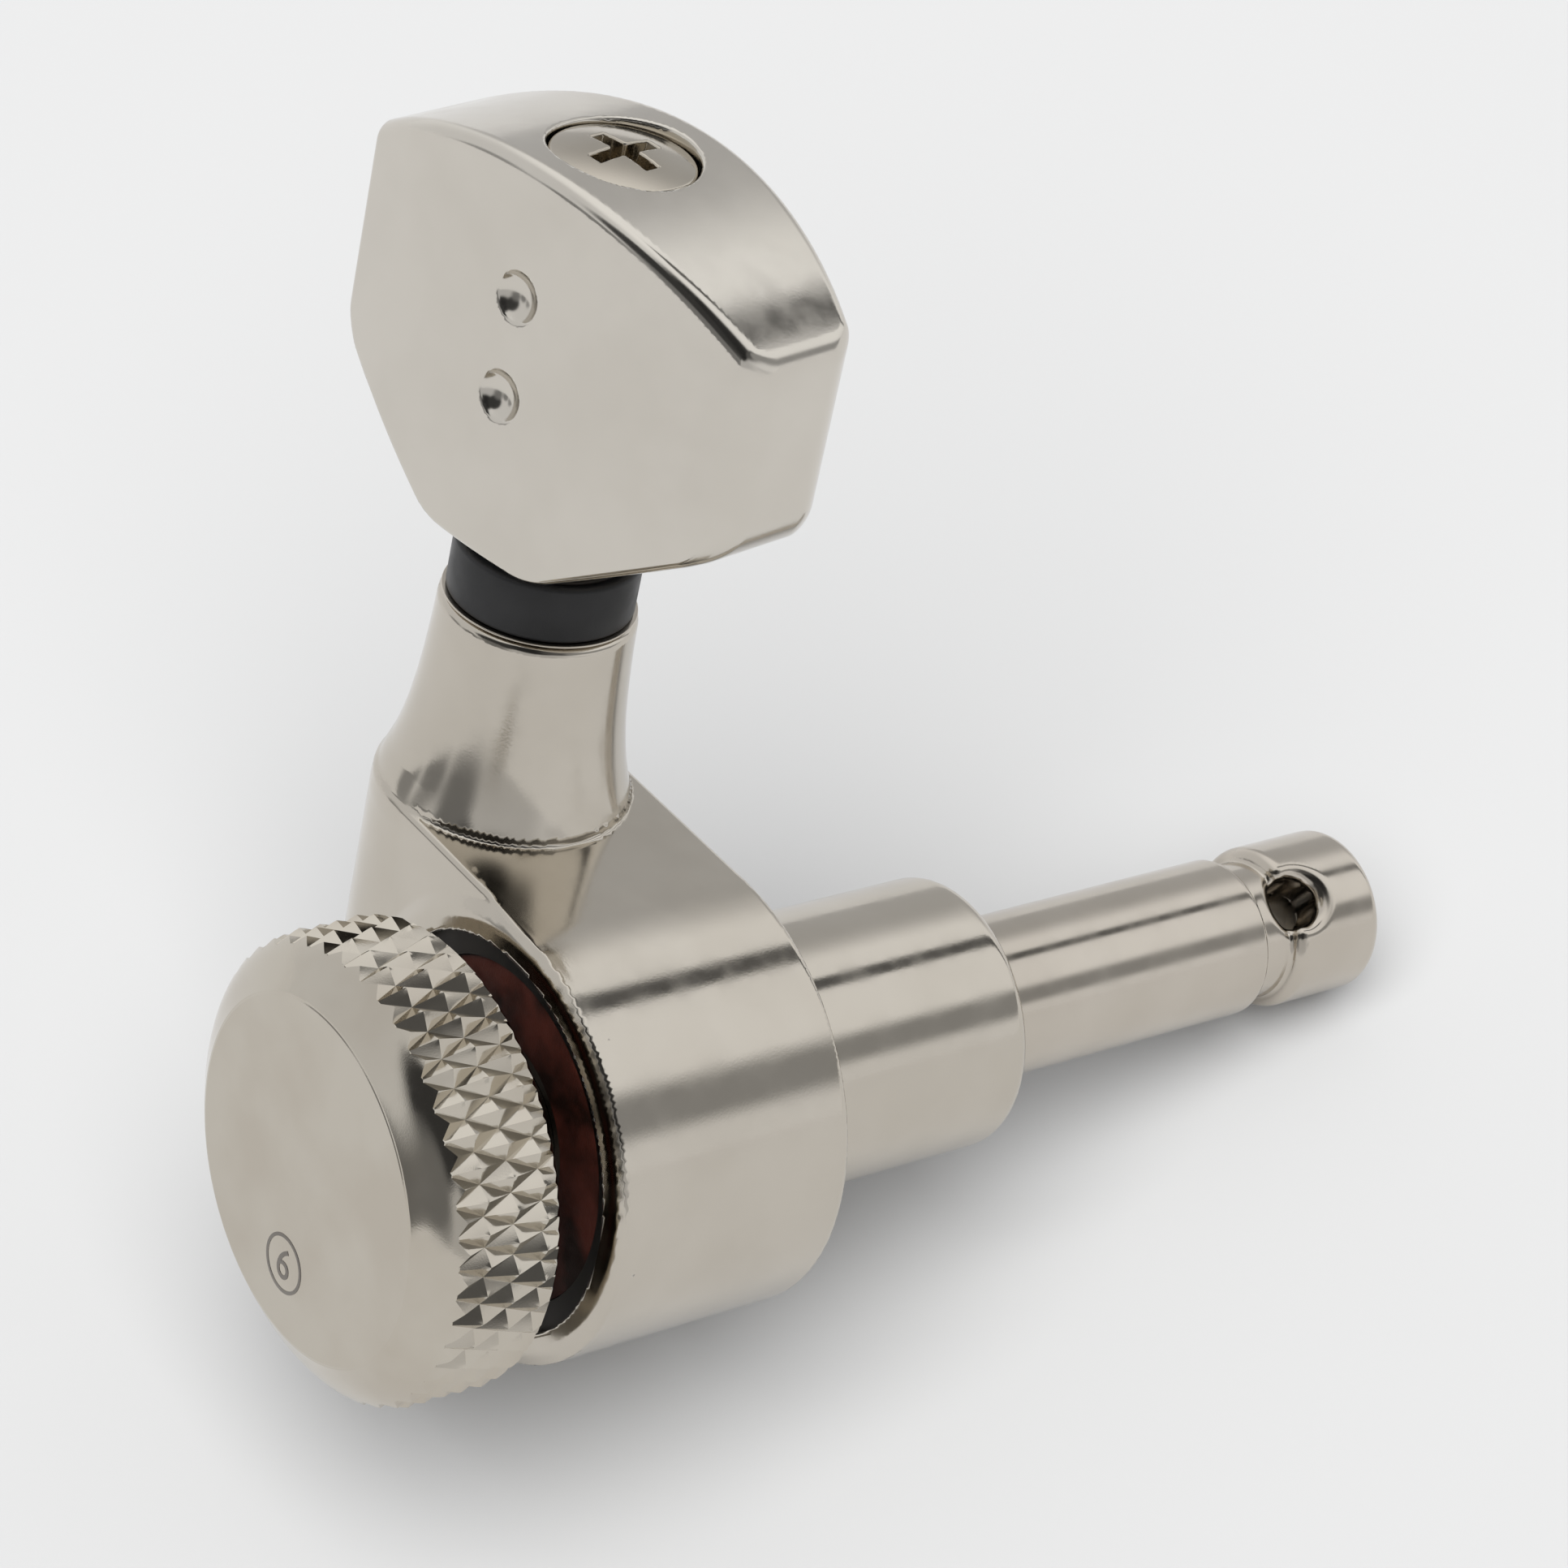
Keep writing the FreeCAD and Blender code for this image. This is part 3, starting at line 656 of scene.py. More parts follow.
@dataclass
class Housing:
    """The plated casting: gear case, worm boss, neck, barrel, screw lug and the lip behind the case."""

    case_radius: float = 8.14
    case_length: float = 9.175
    boss_depth: float = 6.6
    boss_fillet: float = 0.35
    boss_fillet_start: float = -2.0
    edge_round: float = 0.24
    lip_height: float = 0.33
    lip_edge_radius: float = 7.69
    lip_root_radius: float = 8.32
    lip_rounds: tuple[float, float] = (0.08, 0.05)
    lip_sunk: float = 0.5
    lip_fillet: float = 0.04
    case_bore: float = 7.0
    front_wall: float = 1.7
    ring_groove: tuple[float, float, float] = (7.3, -8.94, -8.44)
    neck_top: float = 15.41
    neck_ring_radius: float = 4.43
    neck_ring_top: float = 8.44
    neck_slim_radius: float = 3.38
    neck_flare: float = 0.98
    neck_flare_height: float = 2.6
    neck_edge_round: float = 0.3
    neck_blend_start: float = 6.9
    neck_blend_width: float = 1.2
    neck_blend_inset: float = 0.004
    neck_blend_soft: float = 0.45
    neck_fillet: float = 0.1
    barrel_radius: float = 5.0
    barrel_length: float = 10.66
    barrel_bore: float = 3.95
    barrel_round: float = 0.6
    barrel_fillet: float = 0.12
    lug_angle: float = 290.0
    lug_reach: float = 9.3
    lug_radius: float = 2.45
    lug_thickness: float = 2.0
    lug_hole: float = 1.2
    lug_round: float = 0.3
    rim_round: float = 0.15
    case_bore_round: float = 0.1
    worm_bore: float = 3.2
    worm_bore_top: float = 5.083
    shaft_bore: float = 2.0
    bush_bore: float = 2.65
    bush_length: float = 3.0
    cell: float = 0.16

    def outline(self, points: Array) -> Array:
        """Distance to the case seen along the post: a circle joined to a block with a flat top."""
        drum = np.hypot(points[:, 1], points[:, 2]) - self.case_radius
        top = points[:, 2] - self.case_radius
        bottom = -self.boss_depth - points[:, 2]
        block = np.maximum(np.maximum(-points[:, 1], top), bottom)
        fillet = self.boss_fillet * np.clip(self.boss_fillet_start - points[:, 2], 0.0, 1.0) + LEAST_FILLET
        return fillet_union(drum, block, fillet)

    def neck(self, points: Array) -> Array:
        """Distance to the neck.

        The radius falls from the base as the slim radius plus the flare times e to the minus height over
        the flare's height. On the post's side the neck stands on a low ring, and away from the post it
        runs smoothly down into the boss.
        """
        height = points[:, 2]
        flare = np.exp(-(height - self.neck_ring_top) / self.neck_flare_height)
        cone = self.neck_slim_radius + self.neck_flare * flare
        ringed = np.where(height > self.neck_ring_top, cone, self.neck_ring_radius)
        boss = self.case_length / 2.0 - self.neck_blend_inset
        soft = self.neck_blend_soft
        gap = np.clip(0.5 + 0.5 * (boss - cone) / soft, 0.0, 1.0)
        smooth = boss + (cone - boss) * gap - soft * gap * (1.0 - gap) * 0.5
        away = eased((points[:, 1] - self.neck_blend_start) / self.neck_blend_width)
        side = LAYOUT.from_shaft(points) - (ringed + (smooth - ringed) * away)
        body = rounded_overlap(side, height - self.neck_top, self.neck_edge_round)
        return np.maximum(body, -height)

    def lug(self, points: Array) -> Array:
        """Distance to the screw lug: a bar with a round end, as thick as the lug."""
        angle = math.radians(self.lug_angle)
        along = points[:, 1] * math.cos(angle) + points[:, 2] * math.sin(angle)
        across = points[:, 2] * math.cos(angle) - points[:, 1] * math.sin(angle)
        bar = np.hypot(across, np.maximum(along - self.lug_reach, 0.0)) - self.lug_radius
        slab = np.abs(points[:, 0] + self.lug_thickness / 2.0) - self.lug_thickness / 2.0
        return np.maximum(rounded_overlap(bar, slab, self.lug_round), -along)

    def lip(self, points: Array, outline: Array) -> Array:
        """Distance to the lip: a cone behind the case, trimmed by the case's outline."""
        rise = self.lip_root_radius - self.lip_edge_radius
        slant = math.hypot(rise, self.lip_height)
        rear = -self.case_length - self.lip_height
        radius = np.hypot(points[:, 1], points[:, 2])
        cone = ((radius - self.lip_edge_radius) * self.lip_height - (points[:, 0] - rear) * rise) / slant
        face = rear - points[:, 0]
        edge_round, rim_round = self.lip_rounds
        ring = rounded_overlap(rounded_overlap(cone, face, edge_round), outline, rim_round)
        return np.maximum(ring, points[:, 0] + self.case_length - self.lip_sunk)

    def distance(self, points: Array) -> Array:
        """Distance to the whole casting, with its bores."""
        x, y, z = points.T
        radius = np.hypot(y, z)
        outline = self.outline(points)
        half = self.case_length / 2.0
        plan = np.hypot(x - LAYOUT.shaft_x, np.maximum(y - LAYOUT.shaft_y, 0.0)) - half
        body = rounded_overlap(outline, plan, self.edge_round)
        body = fillet_union(body, self.neck(points), self.neck_fillet)
        barrel = rounded_overlap(radius - self.barrel_radius, x - self.barrel_length, self.barrel_round)
        body = fillet_union(body, np.maximum(barrel, -x - self.front_wall), self.barrel_fillet)
        body = fillet_union(body, self.lug(points), self.lug_round)
        body = fillet_union(body, self.lip(points, outline), self.lip_fillet)
        return self.bored(body, points)

    def bored(self, body: Array, points: Array) -> Array:
        """Takes the bores of the case, the barrel, the worm, the shaft and the lug out of the casting."""
        x, y, z = points.T
        radius = np.hypot(y, z)
        from_shaft = LAYOUT.from_shaft(points)
        groove_radius, groove_low, groove_high = self.ring_groove
        groove = np.maximum(radius - groove_radius, np.maximum(groove_low - x, x - groove_high))
        case_bore = np.maximum(radius - self.case_bore, x + self.front_wall)
        body = rounded_cut(body, case_bore, self.case_bore_round)
        body = np.maximum(body, -groove)
        barrel_bore = np.maximum(radius - self.barrel_bore, -x - 2.0 * self.front_wall)
        body = rounded_cut(body, barrel_bore, self.rim_round)
        worm_bore = np.maximum(from_shaft - self.worm_bore, z - self.worm_bore_top)
        body = rounded_cut(body, worm_bore, self.rim_round)
        body = np.maximum(body, -np.maximum(from_shaft - self.shaft_bore, -z))
        bush_seat = np.maximum(from_shaft - self.bush_bore, self.neck_top - self.bush_length - z)
        body = np.maximum(body, -bush_seat)
        angle = math.radians(self.lug_angle)
        hole_y, hole_z = self.lug_reach * math.cos(angle), self.lug_reach * math.sin(angle)
        hole = np.hypot(y - hole_y, z - hole_z) - self.lug_hole
        return rounded_cut(body, np.maximum(hole, -x - 2.0 * self.lug_thickness), self.rim_round)

    def build(self) -> None:
        """Makes the casting and dresses the nodes that stay inside it."""
        low = (-self.case_length - self.lip_height, -self.case_radius, -self.lug_reach - self.lug_radius)
        high = (self.barrel_length, LAYOUT.shaft_y + self.case_length / 2.0, self.neck_top)
        piece = skin_of(self.distance, low, high, self.cell).piece("casting")
        seat(piece, NICKEL_CAST, Body.HOUSING, "housing")
        # The rear plate, retaining ring and fibre washer sit in the recess behind the thumb wheel; their
        # near-black colours are partly painted shade there.
        inner = {"rear_plate": DARK_STEEL_AND_SHADE, "retaining_ring": DARK_STEEL_AND_SHADE, "fibre_washer": FIBRE_AND_SHADE,
                 "rear_post_bush": BRONZE, "front_post_bush": BRONZE, "neck_bush": BRONZE,
                 "end_plug": NICKEL_TURNED}
        for node, finish in inner.items():
            finish.dress(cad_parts[node])


@dataclass
class StringPost:
    """The hollow turned post with its waist, cap and flared string hole, and what is fixed on it."""

    rear: float = -8.9
    tip: float = 29.7
    radius: float = 3.0
    seat_radius: float = 2.75
    seat_end: float = -2.39
    shoulder: float = 24.0
    waist_radius: float = 2.6
    cap_start: float = 25.45
    cap_radius: float = 3.1
    cap_round: float = 0.5
    cap_rear_round: float = 0.5
    cap_fillet: float = 0.15
    shoulder_round: float = 0.22
    waist_fillet: float = 0.3
    core_inset: float = 1.0
    pin_bore: float = 1.3
    stem_bore: float = 2.0
    stem_bore_end: float = -1.9
    hole_place: float = 26.05
    hole_radius: float = 0.95
    hole_angle: float = 125.0
    mouth_round: float = 0.62
    stem_bore_round: float = 0.1
    cell: float = 0.115

    def distance(self, points: Array) -> Array:
        """Distance to the post: a stack of cylinders with rounds between them, less its bores and hole."""
        x, y, z = points.T
        radius = np.hypot(y, z)
        seat_part = np.maximum(radius - self.seat_radius, self.rear - x)
        shaft = np.maximum(radius - self.radius, self.seat_end - x)
        shaft = rounded_overlap(shaft, x - self.shoulder, self.shoulder_round)
        core = np.maximum(radius - self.waist_radius, x - self.tip + self.core_inset)
        core = np.maximum(core, self.rear - x)
        cap = rounded_overlap(radius - self.cap_radius, x - self.tip, self.cap_round)
        cap = rounded_overlap(cap, self.cap_start - x, self.cap_rear_round)
        body = np.minimum(np.maximum(seat_part, x - self.seat_end), shaft)
        body = fillet_union(body, core, self.waist_fillet)
        body = fillet_union(body, cap, self.cap_fillet)
        angle = math.radians(self.hole_angle)
        across = z * math.cos(angle) - y * math.sin(angle)
        hole = np.hypot(x - self.hole_place, across) - self.hole_radius
        body = rounded_cut(body, hole, self.mouth_round)
        pin_end = self.hole_place + self.hole_radius
        body = np.maximum(body, -np.maximum(radius - self.pin_bore, x - pin_end))
        stem_bore = np.maximum(radius - self.stem_bore, x - self.stem_bore_end)
        return rounded_cut(body, stem_bore, self.stem_bore_round)

    def build(self) -> None:
        """Makes the post and dresses the wheel, clip and washer on it."""
        low = (self.rear, -self.cap_radius, -self.cap_radius)
        high = (self.tip, self.cap_radius, self.cap_radius)
        piece = skin_of(self.distance, low, high, self.cell).piece("turned_post")
        seat(piece, NICKEL_TURNED, Body.POST, "string_post")
        for node, finish in {"worm_wheel": BRASS, "wheel_clip": STEEL, "thrust_washer": STEEL}.items():
            finish.dress(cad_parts[node])
        STEEL.dress(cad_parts["lock_pin"])


@dataclass
class Button:
    """The crowned button with its collar, dimples and screw pocket."""

    bottom: float = 18.2
    half_width: float = 9.3
    bottom_half_width: float = 2.6
    corner: float = 22.38
    shoulder: float = 29.3
    top: float = 32.32
    half_centre: float = 3.8
    half_end: float = 2.25
    low_edge: float = 0.32
    end_edge: float = 1.0
    top_edge: float = 0.5
    edge_change_start: float = 7.9
    edge_change_width: float = 1.2
    corner_round: float = 0.9
    base_round: float = 0.5
    collar_base: float = 17.9
    collar_radius: float = 2.75
    collar_sunk: float = 1.0
    collar_fillet: float = 0.15
    dimple_radius: float = 0.92
    dimple_depth: float = 0.5
    dimple_rim: float = 0.07
    dimples: tuple[float, float] = (27.75, 24.15)
    pocket_radius: float = 2.55
    pocket_floor: float = 31.02
    pocket_rim: float = 0.12
    drive_radius: float = 1.75
    drive_overlap: float = 0.5
    spare_width: float = 0.5
    cell: float = 0.125

    def outline(self, width: Array, height: Array) -> tuple[Array, Array]:
        """Distances to the two parts of the button's outline, seen from the front.

        Its sides are straight and its lower corners slant to the collar. Its top is an arc through the two
        shoulders and the top.
        """
        side = np.abs(width)
        run = self.half_width - self.bottom_half_width
        rise = self.corner - self.bottom
        slant = math.hypot(run, rise)
        lower = ((side - self.bottom_half_width) * rise - (height - self.bottom) * run) / slant
        sagitta = self.top - self.shoulder
        arc_radius = (self.half_width ** 2 + sagitta ** 2) / (2.0 * sagitta)
        arc = np.hypot(width, height - self.top + arc_radius) - arc_radius
        flank = rounded_overlap(side - self.half_width, lower, self.corner_round)
        return rounded_overlap(flank, self.bottom - height, self.base_round), arc

    def distance(self, points: Array) -> Array:
        """Distance to the whole button.

        The crowned faces meet the ends in soft edges, and the arc of the top then cuts through both.
        """
        depth, width, height = LAYOUT.in_button(points)
        flank, arc = self.outline(width, height)
        sagitta = self.half_centre - self.half_end
        crown_radius = (self.half_width ** 2 + sagitta ** 2) / (2.0 * sagitta)
        crown = np.hypot(width, np.abs(depth) + crown_radius - self.half_centre) - crown_radius
        outer = eased((np.abs(width) - self.edge_change_start) / self.edge_change_width)
        edge = self.low_edge + (self.end_edge - self.low_edge) * outer
        body = rounded_overlap(rounded_overlap(flank, crown, edge), arc, self.top_edge)
        from_shaft = np.hypot(depth, width)
        collar_ends = np.maximum(self.collar_base - height, height - self.bottom - self.collar_sunk)
        collar = np.maximum(from_shaft - self.collar_radius, collar_ends)
        body = fillet_union(body, collar, self.collar_fillet)
        ball = (self.dimple_radius ** 2 + self.dimple_depth ** 2) / (2.0 * self.dimple_depth)
        for place in self.dimples:
            from_centre = depth + self.half_centre - self.dimple_depth + ball
            pit = np.sqrt(width ** 2 + (height - place) ** 2 + from_centre ** 2) - ball
            body = rounded_cut(body, pit, self.dimple_rim)
        pocket = np.maximum(from_shaft - self.pocket_radius, self.pocket_floor - height)
        body = rounded_cut(body, pocket, self.pocket_rim)
        hole = np.maximum(from_shaft - self.drive_radius, height - self.pocket_floor - self.drive_overlap)
        return np.maximum(body, -hole)

    def build(self) -> None:
        """Makes the button."""
        reach = self.half_width * math.sin(math.radians(LAYOUT.button_turn)) + self.half_centre
        low = (LAYOUT.shaft_x - reach, LAYOUT.shaft_y - self.half_width - self.spare_width, self.collar_base)
        high = (LAYOUT.shaft_x + reach, LAYOUT.shaft_y + self.half_width + self.spare_width, self.top)
        piece = skin_of(self.distance, low, high, self.cell).piece("button_casting")
        seat(piece, NICKEL_BUTTON, Body.SHAFT, "button")


@dataclass
class ButtonScrew:
    """The screw in the button's top: a domed head with a cross recess, and its shank."""

    head_base: float = 31.02
    head_top: float = 32.3
    head_radius: float = 2.48
    head_edge: float = 0.12
    dome: float = 0.34
    shank_radius: float = 0.9
    shank_end: float = 25.8
    shank_overlap: float = 1.0
    cross_length: float = 1.35
    cross_width: float = 0.3
    cross_depth: float = 0.9
    cross_taper: float = 0.28
    cross_narrowing: float = 0.12
    cross_corner: float = 0.12
    cross_rim: float = 0.07
    cell: float = 0.06

    def distance(self, points: Array) -> Array:
        """Distance to the screw: a domed disc on a shank, less two tapered slots that cross."""
        depth, width, height = LAYOUT.in_button(points)
        radius = np.hypot(depth, width)
        dome_radius = (self.head_radius ** 2 + self.dome ** 2) / (2.0 * self.dome)
        dome = np.hypot(radius, height - self.head_top + dome_radius) - dome_radius
        disc = np.maximum(radius - self.head_radius, self.head_base - height)
        head = rounded_overlap(disc, dome, self.head_edge)
        shank_ends = np.maximum(self.shank_end - height, height - self.head_top + self.shank_overlap)
        body = np.minimum(head, np.maximum(radius - self.shank_radius, shank_ends))
        below = self.head_top - height
        floor = below - self.cross_depth
        long_way = self.cross_length - self.cross_taper * below
        thick_way = self.cross_width - self.cross_narrowing * below
        one = np.maximum(np.abs(depth) - long_way, np.abs(width) - thick_way)
        two = np.maximum(np.abs(width) - long_way, np.abs(depth) - thick_way)
        cross = np.maximum(fillet_union(one, two, self.cross_corner), floor)
        return rounded_cut(body, cross, self.cross_rim)

    def build(self) -> None:
        """Makes the screw."""
        reach = self.head_radius
        low = (LAYOUT.shaft_x - reach, LAYOUT.shaft_y - reach, self.shank_end)
        high = (LAYOUT.shaft_x + reach, LAYOUT.shaft_y + reach, self.head_top)
        piece = skin_of(self.distance, low, high, self.cell).piece("cross_screw")
        seat(piece, NICKEL_KNURL, Body.SHAFT, "button_screw")


@dataclass
class NeckWashers:
    """The three washers between the neck and the button."""

    bore: float = 1.95
    bright: tuple[float, float, float] = (15.47, 15.61, 3.38)
    nylon: tuple[float, float, float] = (15.55, 17.65, 3.25)
    wave: tuple[float, float, float] = (17.65, 17.9, 2.95)
    waves: int = 3
    wave_thickness: float = 0.14
    metal_edge: float = 0.03
    nylon_edge: float = 0.16
    count: int = 192
    crease: float = 60.0

    def build(self) -> None:
        """Makes the washers and dresses the shaft inside them."""
        low, _, radius = self.bright
        outline = rounded_ring(low, self.nylon[0], radius, self.bore, self.metal_edge)
        bright = turned(outline, Axis.SHAFT, self.count, loop=True)
        seat(bright.piece("bright_ring", self.crease), NICKEL_TURNED, Body.SHAFT, "bright_washer")
        low, high, radius = self.nylon
        outline = rounded_ring(low, high, radius, self.bore, self.nylon_edge)
        nylon = turned(outline, Axis.SHAFT, self.count, loop=True)
        seat(nylon.piece("nylon_collar", self.crease), NYLON, Body.SHAFT, "nylon_washer")
        low, high, radius = self.wave
        outline = np.array(rounded_ring(low, low + self.wave_thickness, radius, self.bore, self.metal_edge))
        angle = np.arange(self.count) / self.count * FULL_TURN
        lift = (high - low - self.wave_thickness) * (0.5 - 0.5 * np.cos(self.waves * angle))
        along = outline[:, :1] + lift
        rings = np.repeat(outline[:, 1:], self.count, axis=1)
        wave = turned_skin(along, rings, Axis.SHAFT, loop=True)
        seat(wave.piece("wave_spring", self.crease), DARK_STEEL_AND_SHADE, Body.SHAFT, "wave_washer")
        for node in ("worm_shaft", "worm_washer"):
            STEEL.dress(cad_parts[node])


@dataclass
class ThumbWheel:
    """The knurled thumb wheel: flat face, arched shoulder, band of pyramids and the hub behind.

    The knurl's two families of grooves start from knurl_turn, counted in pyramids round the wheel, and from
    knurl_shift, counted in pitches from the wheel's back.
    """

    face: float = -16.548
    face_radius: float = 6.38
    shoulder_end: float = -15.07
    shoulder_swell: tuple[float, float] = (0.12, 0.46)
    back: float = -11.65
    radius: float = 8.195
    knurl_depth: float = 0.42
    knurls_round: int = 46
    knurl_pitch: float = 2.24
    knurl_turn: float = 0.43
    knurl_shift: float = 0.18
    steps_a_knurl: int = 12
    crown: float = 1.04
    unevenness: float = 0.03
    jumps: tuple[float, float] = (12.9898, 78.233)
    back_chamfer: float = 0.45
    shoulder_rows: int = 26
    shoulder_points: int = 240
    shoulder_crowding: float = 1.4
    face_rings: int = 6
    face_pole: float = 0.02
    face_edge: tuple[float, float] = (0.02, 0.05)
    halvings: int = 40
    shoulder_margin: float = 0.3
    spare: float = 0.01
    squeeze: float = 0.0004
    back_steps: tuple[float, float, float] = (0.001, 0.002, 0.004)
    hub_radius: float = 4.2
    hub_front: float = -10.65
    hub_foot: tuple[float, float] = (0.1, 0.03)
    hub_round: float = 0.12
    stem_radius: float = 1.95
    stem_rear: float = -12.75
    mark_place: tuple[float, float] = (0.335, -3.749)
    mark_radius: float = 1.03
    mark_line: float = 0.13
    mark_height: float = 1.22
    mark_rise: float = 0.012
    mark_count: int = 96
    crease: float = 8.0

    def shoulder(self, along: Array) -> Array:
        """Radius of the shoulder.

        It swells over the straight line from the face's edge to the band. With t from 0 to 1 along that
        line, it stands off, as a share of the line's length, by the first swell times t times the square
        of 1 - t, plus the second swell times 1 - t times the square of t.
        """
        share = np.linspace(0.0, 1.0, self.shoulder_points)
        run = self.shoulder_end - self.face
        climb = self.radius - self.face_radius
        first, second = self.shoulder_swell
        off = first * share * (1.0 - share) ** 2 + second * share ** 2 * (1.0 - share)
        places = self.face + run * share - climb * off
        return np.interp(along, places, self.face_radius + climb * share + run * off)

    def pyramids(self, along: Array, angle: Array) -> Array:
        """Radius of the knurl.

        Two families of helical grooves cross. With u and v the turns counted along each family, each
        groove's height is the distance of u or v from the nearest whole number, doubled. The lower of the
        two, times the crown and capped at one, is the height of the pyramid as a share of the knurl's
        depth. Each pyramid's peak is lowered by up to twice the unevenness, by the sine of a number that
        jumps from pyramid to pyramid.
        """
        turns = angle / FULL_TURN * self.knurls_round - self.knurl_turn
        shift = (along - self.back) / self.knurl_pitch - self.knurl_shift
        one = turns + shift
        two = turns - shift
        height = 2.0 * np.minimum(np.abs(one - np.round(one)), np.abs(two - np.round(two)))
        height = np.minimum(height * self.crown, 1.0)
        jump = np.sin(self.jumps[0] * np.floor(one) + self.jumps[1] * np.floor(two))
        return self.radius - self.knurl_depth + (self.knurl_depth + self.unevenness * (jump - 1.0)) * height

    def chamfer(self, along: Array) -> Array:
        """Radius of the bevel behind the band, which falls as fast as it runs back."""
        return self.radius - np.maximum(along - self.back + self.back_chamfer, 0.0)

    def crossing(self, angle: Array, low: float, high: float, edge: Callable[[Array], Array]) -> Array:
        """Where the knurl meets the shoulder or the bevel, for each angle, found by halving the span."""
        first = np.full(len(angle), low)
        last = np.full(len(angle), high)
        starts_inside = edge(first) < self.pyramids(first, angle)
        for _ in range(self.halvings):
            middle = (first + last) / 2.0
            same = (edge(middle) < self.pyramids(middle, angle)) == starts_inside
            first = np.where(same, middle, first)
            last = np.where(same, last, middle)
        return (first + last) / 2.0

    def front_rings(self, front: Array) -> tuple[list[Array], list[Array]]:
        """Rings from the middle of the face over its edge and the shoulder to where the knurl begins."""
        flat = np.ones(len(front))
        drop, inset = self.face_edge
        along = [flat * self.face] * self.face_rings
        radius = [flat * r for r in np.linspace(self.face_pole, self.face_radius - inset, self.face_rings)]
        first = self.face + drop
        for share in np.linspace(0.0, 1.0, self.shoulder_rows) ** self.shoulder_crowding:
            along.append(first + (front - first) * share)
            radius.append(self.shoulder(along[-1]))
        radius[self.face_rings] = flat * self.face_radius
        return along, radius

    def knurl_rings(self, angle: Array, front: Array, rear: Array) -> tuple[list[Array], list[Array]]:
        """Rings of the knurl, pressed together where they would run past its front or rear edge."""
        step = self.knurl_pitch / self.steps_a_knurl
        origin = self.back + self.knurl_pitch * self.knurl_shift
        first = math.ceil((front.min() - origin) / step)
        last = math.floor((self.back - origin) / step)
        number = np.arange(first, last + 1)
        along = []
        for k, place in enumerate(origin + number * step):
            low = front + self.squeeze * (k + 1)
            high = rear - self.squeeze * (len(number) - k)
            along.append(np.clip(place, low, high))
        return along, [self.pyramids(place, angle) for place in along]

    def rear_rings(self, rear: Array) -> tuple[list[Array], list[Array]]:
        """Rings from the knurl's rear edge over the bevel, the back and the hub to the stem's hole."""
        flat = np.ones(len(rear))
        bevel, edge, foot = self.back_steps
        along = [rear, (rear + self.back) / 2.0 + bevel, flat * (self.back + edge)]
        radius = [self.chamfer(place) for place in along]
        foot_size, foot_middle = self.hub_foot
        behind = [(self.back + foot, self.hub_radius + foot_size),
                  (self.back + foot_middle, self.hub_radius + foot_middle),
                  (self.back + foot_size, self.hub_radius)]
        behind += corner_arc(self.hub_front, self.hub_radius, self.hub_round, 1)
        behind += [(self.hub_front, self.stem_radius), (self.stem_rear, self.stem_radius)]
        along += [flat * place for place, _ in behind]
        radius += [flat * reach for _, reach in behind]
        return along, radius

    def skin(self) -> Skin:
        """The wheel's surface, ring by ring from the middle of its face to the stem's hole.

        The rings of the shoulder end where the knurl begins, so that the edge between them is drawn
        exactly, and each face of the knurl is cut along its groove.
        """
        count = self.knurls_round * self.steps_a_knurl
        angle = (np.arange(count) / self.steps_a_knurl + self.knurl_turn) / self.knurls_round * FULL_TURN
        shoulder_start = self.face + self.shoulder_margin
        front = self.crossing(angle, shoulder_start, self.shoulder_end + self.spare, self.shoulder)
        bevel_start = self.back - self.back_chamfer - self.spare
        rear = self.crossing(angle, bevel_start, self.back, self.chamfer)
        along, radius = [], []
        for places, reaches in (self.front_rings(front), self.knurl_rings(angle, front, rear),
                                self.rear_rings(rear)):
            along += places
            radius += reaches
        skin = turned_skin(np.stack(along), np.stack(radius), Axis.POST, start=float(angle[0]))
        reach = np.hypot(skin.vertices[:, 1], skin.vertices[:, 2])[skin.quads]
        lower = (reach[:, 0] + reach[:, 2] < reach[:, 1] + reach[:, 3])[:, None, None]
        one_way = skin.quads[:, [[0, 1, 2], [0, 2, 3]]]
        other_way = skin.quads[:, [[1, 2, 3], [1, 3, 0]]]
        skin.triangles = np.concatenate([skin.triangles, np.where(lower, one_way, other_way).reshape(-1, 3)])
        skin.quads = np.zeros((0, 4), dtype=int)
        return skin

    def mark(self) -> bpy.types.Object:
        """The plain number in a ring on the face, as a thin etched layer."""
        curve = bpy.data.curves.new("number", "FONT")
        curve.body = "6"
        curve.size = self.mark_height * MILLIMETRE
        curve.align_x = "CENTER"
        curve.align_y = "CENTER"
        curve.extrude = self.mark_rise * MILLIMETRE
        text = bpy.data.objects.new("number", curve)
        bpy.context.scene.collection.objects.link(text)
        bpy.context.view_layer.update()
        mesh = bpy.data.meshes.new_from_object(text)
        bpy.data.objects.remove(text)
        corners = np.zeros(len(mesh.vertices) * 3)
        mesh.vertices.foreach_get("co", corners)
        corners = corners.reshape(-1, 3)
        lowest, highest = corners[:, :2].min(axis=0), corners[:, :2].max(axis=0)
        corners[:, :2] -= (lowest + highest) / 2.0
        corners[:, :2] *= self.mark_height * MILLIMETRE / (highest[1] - lowest[1])
        place_y, place_z = self.mark_place
        placed = np.stack([self.face * MILLIMETRE - corners[:, 2], place_y * MILLIMETRE - corners[:, 0],
                           place_z * MILLIMETRE + corners[:, 1]], axis=1)
        mesh.vertices.foreach_set("co", placed.astype(np.float32).ravel())
        number = bpy.data.objects.new("wheel_number", mesh)
        bpy.context.scene.collection.objects.link(number)
        return number

